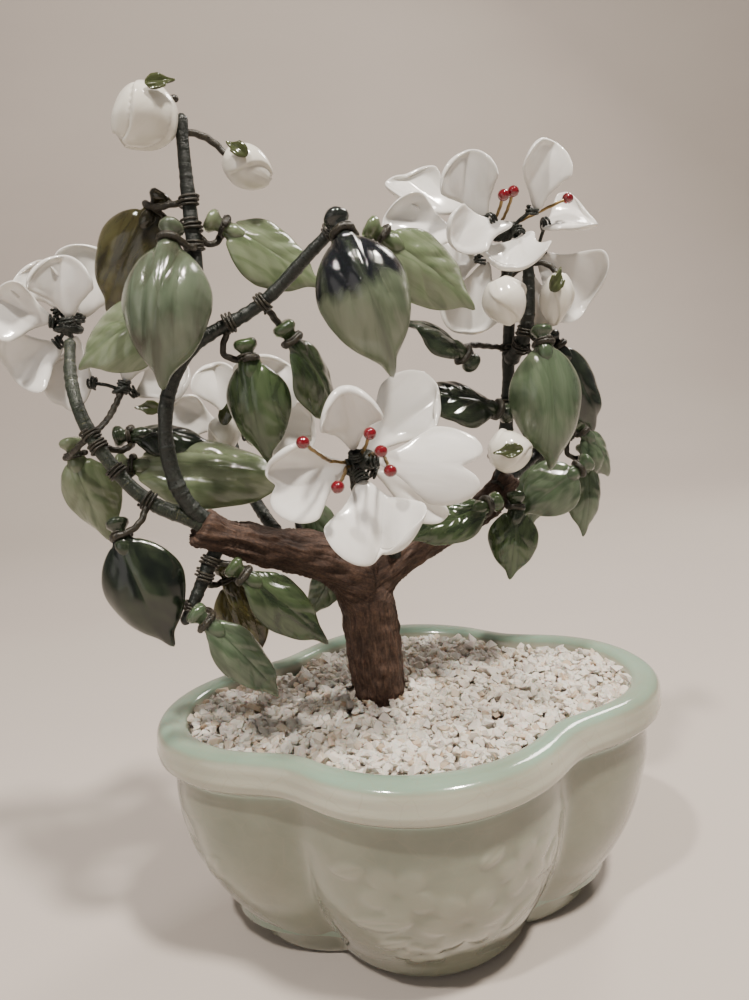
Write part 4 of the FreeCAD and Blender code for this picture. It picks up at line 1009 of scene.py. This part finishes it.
def trunk():
    """Paper-wrapped trunk: the CAD surface with creases that run along the trunk and each limb."""
    points, normals, faces = remeshed("trunk", 0.55, 3)
    low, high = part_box("trunk")
    fork = TRUNK_FOOT + np.array([-2.0, 0.5, GRAVEL_TOP / MM + 36]) * MM
    left = points[points[:, 0] < low[0] + 3 * MM].mean(0)
    right = points[points[:, 0] > high[0] - 3 * MM].mean(0)
    lines = [np.array([TRUNK_FOOT, fork])]
    for end, bend in ((left, (0, -1.0, 1.0)), (right, (0, 0, -2.0))):
        lines.append(np.array([fork, (fork + end) / 2 + np.array(bend) * MM, end]))
    size = points / MM
    found = [nearest_on(line, points) for line in lines]
    gaps = np.stack([item[2] for item in found])
    weights = np.exp(-gaps / (1.6 * MM))
    weights /= weights.sum(0)
    crease = np.zeros(len(points))
    for (along, angle, _), weight, seed in zip(found, weights, (1.0, 5.0, 9.0)):
        twist = angle + along / MM * 0.012
        field = np.stack([np.cos(twist) * 3.0, np.sin(twist) * 3.0, along / MM * 0.07], axis=1)
        ridged = 1 - 2 * np.abs(value_noise(field, 0.55, seed))
        fine = 1 - 2 * np.abs(value_noise(field * np.array([2.6, 2.6, 2.0]), 0.6, seed + 2))
        crease += weight * (0.7 * ridged + 0.35 * fine)
    crease += 0.35 * value_noise(size, 3.0, 4.0)
    flare = np.clip((size[:, 2] - fork[2] / MM + 14) / 14, 0, 1) * 0.6
    points = points + normals * ((crease * 1.05 + flare * value_noise(size, 9.0, 8.0)) * MM)[:, None]
    main = np.argmin(gaps, axis=0)
    side = np.choose(main, [item[1] for item in found]) * 7
    along = np.choose(main, [item[0] for item in found]) / MM + main * 61
    marks = {"crease": crease, "fibre_side": side, "fibre_along": along}
    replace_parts(make_piece("bark_trunk", [(points, faces, marks)], "trunk", "bark_wrap"), "trunk")


# ------------------------------------------------------------------ wirework
BRANCH_TRACE = 2.1 * MM
BRANCH_RADII = (2.3 * MM, 1.5 * MM)
TWIG_RADIUS = 0.9 * MM
STAMEN_RADIUS = 0.45 * MM


def branches():
    """Taped branches, thinner towards their tips, with the tape bunched here and there."""
    step = 0.28
    for node in ("branch_left_low", "branch_left_loop", "branch_left_high", "branch_left_droop",
                 "branch_right_main", "branch_right_side", "branch_right_low", "flower_stalks"):
        parts = []
        for index, solid in enumerate(read_solids(node)):
            line = resample(trace_bar(*solid, BRANCH_TRACE), step * MM)
            falls = line[0][2] > line[-1][2]
            if falls != (node == "branch_left_droop"):
                line = line[::-1]
            radius = np.linspace(*BRANCH_RADII, len(line))
            length = np.arange(len(line)) * step
            spots = np.stack([length, length * 0, length * 0], axis=1)
            bunched = np.clip(value_noise(spots, 1.1, index + 7.0), 0, 1)
            parts.append(tube(line, radius * (1 + 0.13 * bunched ** 2), 18, ridge=0.012, pitch=2.4 * MM,
                              seed=index + 3.0, rough=0.09))
        look = "branch_gilt" if node == "branch_left_low" else "branch_tape"
        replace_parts(make_piece(node + "_wound", parts, node, look), node)


def to_heart(line, hearts_at):
    """Stamen centre line drawn on into the nearest heart."""
    gaps = [[np.linalg.norm(end - spot) for spot in hearts_at] for end in (line[0], line[-1])]
    if min(gaps[1]) < min(gaps[0]):
        line, gaps = line[::-1], gaps[::-1]
    return np.concatenate([[hearts_at[int(np.argmin(gaps[0]))]], line])


def thin_wires():
    """Twig, bud and stamen wires, each traced from its CAD solid."""
    hearts_at = [points.mean(0) for points, _ in read_solids("flower_hearts")]
    for node in ("twigs_high", "twigs_loop", "twigs_right", "twigs_low_right", "twigs_low_left", "bud_stems",
                 "stamen_wires"):
        stamens = node == "stamen_wires"
        radius = STAMEN_RADIUS if stamens else TWIG_RADIUS
        parts = []
        for index, solid in enumerate(read_solids(node)):
            line = trace_bar(*solid, radius)
            if stamens:
                line = to_heart(line, hearts_at)
            line = resample(line, 0.22 * MM)
            parts.append(tube(line, radius, 12, ridge=0.10, pitch=3.2 * MM, seed=index * 2.0, rough=0.12))
        look = "stamen_wire" if stamens else "twig_wire"
        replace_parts(make_piece(node + "_wound", parts, node, look), node)


def coil(centre, axis, radius, wire, turns, pitch, seed):
    """A few uneven turns of wire round an axis."""
    rng = np.random.default_rng(seed)
    side = crosswise(axis)
    other = np.cross(axis, side)
    angles = np.linspace(0, 2 * math.pi * turns, int(26 * turns)) + rng.uniform(0, 6.28)
    swing = radius * (1 + 0.06 * np.sin(angles * 0.7 + seed))
    lift = (np.arange(len(angles)) / len(angles) - 0.5) * pitch * turns
    lift = lift + 0.25 * wire * np.sin(angles * 1.3 + seed)
    round_it = np.outer(np.cos(angles) * swing, side) + np.outer(np.sin(angles) * swing, other)
    return tube(centre + round_it + np.outer(lift, axis), wire, 8, ridge=0.05, pitch=0.8 * MM)


def ties():
    """Binding wire where each twig leaves its branch and round each leaf's neck, and each petal's grip."""
    parts = []
    for index, (points, triangles) in enumerate(read_solids("tie_wires")):
        centre = (points.min(0) + points.max(0)) / 2
        _, vectors = np.linalg.eigh(np.cov((points - centre).T))
        radius = np.linalg.norm(points - centre, axis=1).max() - 0.62 * MM
        parts.append(coil(centre, vectors[:, 0], radius, 0.36 * MM, 3.0, 0.95 * MM, index))
    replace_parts(make_piece("binding_wire", parts, "tie_wires", "twig_wire"), "tie_wires")
    parts = [coil(neck, axis, 2.55 * MM, 0.34 * MM, 2.2, 0.75 * MM, index + 40)
             for index, (neck, axis) in enumerate(NECKS)]
    make_piece("neck_wire", parts, "tie_wires", "twig_wire", body=TREE)
    parts = []
    for index, (solid, heart) in enumerate(PETAL_GRIPS):
        centre = solid[0].mean(0)
        inner = solid[0][np.argsort(np.linalg.norm(solid[0] - heart, axis=1))[:40]].mean(0)
        outward = unit(centre - inner)
        parts.append(coil(inner - outward * 0.3 * MM, outward, 1.6 * MM, 0.40 * MM, 2.4, 0.9 * MM, index + 80))
        arm = np.array([inner, (inner + heart) / 2 + UP * 0.4 * MM, heart])
        parts.append(tube(resample(arm, 0.3 * MM), 0.55 * MM, 8, ridge=0.05, pitch=0.9 * MM))
    make_piece("petal_grips", parts, "flower_hearts", "heart_tape")


def yarn_knot(centre, radius, seed):
    """Tape wound into a knot: one strand that circles a small core in changing planes."""
    rng = np.random.default_rng(seed)
    share = np.linspace(0, 1, 420)
    angle = share * 2 * math.pi * 11
    tilt = share * 2 * math.pi * 2.3 + rng.uniform(0, 6)
    reach = radius * (0.62 + 0.22 * np.sin(share * 31 + seed))
    line = np.stack([np.cos(angle) * np.cos(tilt), np.sin(angle), np.cos(angle) * np.sin(tilt)], axis=1)
    line = line * reach[:, None] * np.array([1.1, 0.85, 0.9])
    return tube(line + centre, 0.19 * radius, 9, ridge=0.08, pitch=0.7 * MM, seed=seed, rough=0.1)


HEART_SHARE = 0.86             # of the CAD ball's radius


def hearts():
    """Wound hearts of the flowers; gives their centres."""
    centres = []
    parts = []
    for points, _ in read_solids("flower_hearts"):
        centre = points.mean(0)
        centres.append(centre)
        radius = HEART_SHARE * np.linalg.norm(points - centre, axis=1).max()
        parts.append(yarn_knot(centre, radius, len(centres)))
    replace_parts(make_piece("wound_hearts", parts, "flower_hearts", "heart_tape"), "flower_hearts")
    return centres


def beads():
    """Ruby glass beads, a little longer than they are wide."""
    parts = []
    for index, (points, _) in enumerate(read_solids("stamen_beads")):
        turns = np.linspace(math.pi, 0, 13)
        profile = [(1.62 * math.cos(turn), max(0.12, 1.55 * math.sin(turn))) for turn in turns]
        shape, faces = lathe(profile, 20, 0.03, index)
        parts.append((shape + points.mean(0), faces, {}))
    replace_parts(make_piece("ruby_beads", parts, "stamen_beads", "bead_glass"), "stamen_beads")


# ------------------------------------------------------------------ leaves, petals and buds
def leaves():
    seed = 1
    for node, look in LEAF_LOOKS.items():
        made = []
        for index, solid in enumerate(read_solids(node)):
            seed += 1
            made.append(build_leaf("%s_glass%d" % (node, index), node, solid, look, seed))
        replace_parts(made[0], node)


def petals(centres):
    seed = 60
    for node in sorted(name for name in NODES if name.startswith("petal")):
        made = []
        for index, solid in enumerate(read_solids(node)):
            seed += 1
            centre = solid[0].mean(0)
            heart = min(centres, key=lambda spot: np.linalg.norm(spot - centre))
            look = PETAL_LOOKS.get(node) or loose_look(seed)
            name = "%s_glass%d" % (node, index)
            made.append(build_petal(name, node, solid, heart, "petal_white", seed, look))
            PETAL_GRIPS.append((solid, heart))
        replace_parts(made[0], node)


def buds_and_sepals():
    stem_ends = []
    for solid in read_solids("bud_stems"):
        line = trace_bar(*solid, TWIG_RADIUS)
        stem_ends += [line[0], line[-1]]
    seed = 90
    for node in ("bud_top", "bud_side", "buds_small"):
        made = []
        for index, solid in enumerate(read_solids(node)):
            seed += 1
            centre = (solid[0].min(0) + solid[0].max(0)) / 2
            root = min(stem_ends, key=lambda spot: np.linalg.norm(spot - centre))
            made.append(build_bud("%s_glass%d" % (node, index), node, solid, root, seed))
        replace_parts(made[0], node)
    made = []
    for index, solid in enumerate(read_solids("sepals")):
        _, long_axis, _, _ = blade_axes(scatter(*solid, 2000, index))
        heart = solid[0].mean(0) - long_axis * 20 * MM
        made.append(build_petal("sepal_glass%d" % index, "sepals", solid, heart, "sepal_glass", 200 + index,
                                (0.4, 0, 50, 0.3, 0.3), SEPAL_THICK))
    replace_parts(made[0], "sepals")


def carried_over():
    """Materials of the CAD nodes that stay as they are."""
    kept = {"plaster_plug": "plaster", "gravel_bed": "gravel_bed", "armature_rod": "rod_steel"}
    for node, look in kept.items():
        for slot in NODES[node].material_slots:
            slot.material = MATERIALS[look]


# ------------------------------------------------------------------ stage, light and camera
def backdrop():
    """Pale floor that curves up into a wall behind the object, in metres."""
    floor_end, curve, wall_top, half_width = 0.55, 0.35, 1.6, 1.6
    profile = [(-1.2, 0.0), (floor_end, 0.0)]
    for turn in np.linspace(0, math.pi / 2, 13)[1:]:
        profile.append((floor_end + curve * math.sin(turn), curve - curve * math.cos(turn)))
    profile.append((floor_end + curve, wall_top))
    points = [(side, y, z) for y, z in profile for side in (-half_width, half_width)]
    faces = [(2 * k, 2 * k + 1, 2 * k + 3, 2 * k + 2) for k in range(len(profile) - 1)]
    mesh = bpy.data.meshes.new("sweep")
    mesh.from_pydata(points, [], faces)
    mesh.polygons.foreach_set("use_smooth", [True] * len(faces))
    obj = bpy.data.objects.new("sweep", mesh)
    bpy.context.scene.collection.objects.link(obj)
    paint = Paint("sweep")
    grain = paint.noise(9.0, 6.0)
    tone = paint.ramp(grain, (0.3, (0.50, 0.445, 0.405)), (0.7, (0.54, 0.485, 0.44)))
    paint.finish((grain, 0.1, 0.002), Base_Color=tone, Roughness=0.8)
    mesh.materials.append(paint.material)


def area_light(name, place, target, size, power, colour):
    light = bpy.data.lights.new(name, "AREA")
    light.shape = "DISK"
    light.size = size
    light.energy = power
    light.color = colour
    obj = bpy.data.objects.new(name, light)
    obj.location = place
    obj.rotation_mode = "QUATERNION"
    obj.rotation_quaternion = (Vector(target) - Vector(place)).to_track_quat("-Z", "Y")
    bpy.context.scene.collection.objects.link(obj)


def lights():
    """Two small warm lamps above, a soft fill from the left, a weak light from behind and a pale room."""
    middle = (0.0, 0.0, 0.13)
    area_light("key", (0.24, -0.30, 1.05), middle, 0.10, 15.0, (1.0, 0.92, 0.82))
    area_light("lamp", (-0.28, -0.34, 0.95), middle, 0.05, 6.5, (1.0, 0.93, 0.85))
    area_light("fill", (-0.8, -0.7, 0.35), middle, 0.9, 1.6, (1.0, 0.95, 0.90))
    area_light("back", (0.5, 0.45, 0.8), middle, 0.25, 4.0, (1.0, 0.93, 0.86))
    world = bpy.data.worlds.new("room")
    world.use_nodes = True
    background = world.node_tree.nodes["Background"]
    background.inputs[0].default_value = (0.80, 0.76, 0.72, 1.0)
    background.inputs[1].default_value = 0.24
    bpy.context.scene.world = world


def camera():
    """Camera as fitted to the object: its place in mm, and its heading, drop and roll in radians."""
    place, heading, drop, roll = (-29.7, -220.0, 186.3), -0.100, 0.214, -0.072
    data = bpy.data.cameras.new("camera")
    data.lens = 27.0
    data.sensor_width = 36.0
    data.clip_start = 0.01
    obj = bpy.data.objects.new("camera", data)
    level = math.cos(drop)
    forward = Vector((-math.sin(heading) * level, math.cos(heading) * level, -math.sin(drop)))
    right = forward.cross(Vector((0, 0, 1))).normalized()
    up = right.cross(forward)
    right, up = (math.cos(roll) * right + math.sin(roll) * up, -math.sin(roll) * right + math.cos(roll) * up)
    turn = Matrix((right, up, -forward)).transposed().to_4x4()
    obj.matrix_world = Matrix.Translation(Vector(place) * MM) @ turn
    bpy.context.scene.collection.objects.link(obj)
    bpy.context.scene.camera = obj


pot()
gravel()
trunk()
branches()
thin_wires()
leaves()
petals(hearts())
buds_and_sepals()
ties()
beads()
carried_over()
backdrop()
lights()
camera()
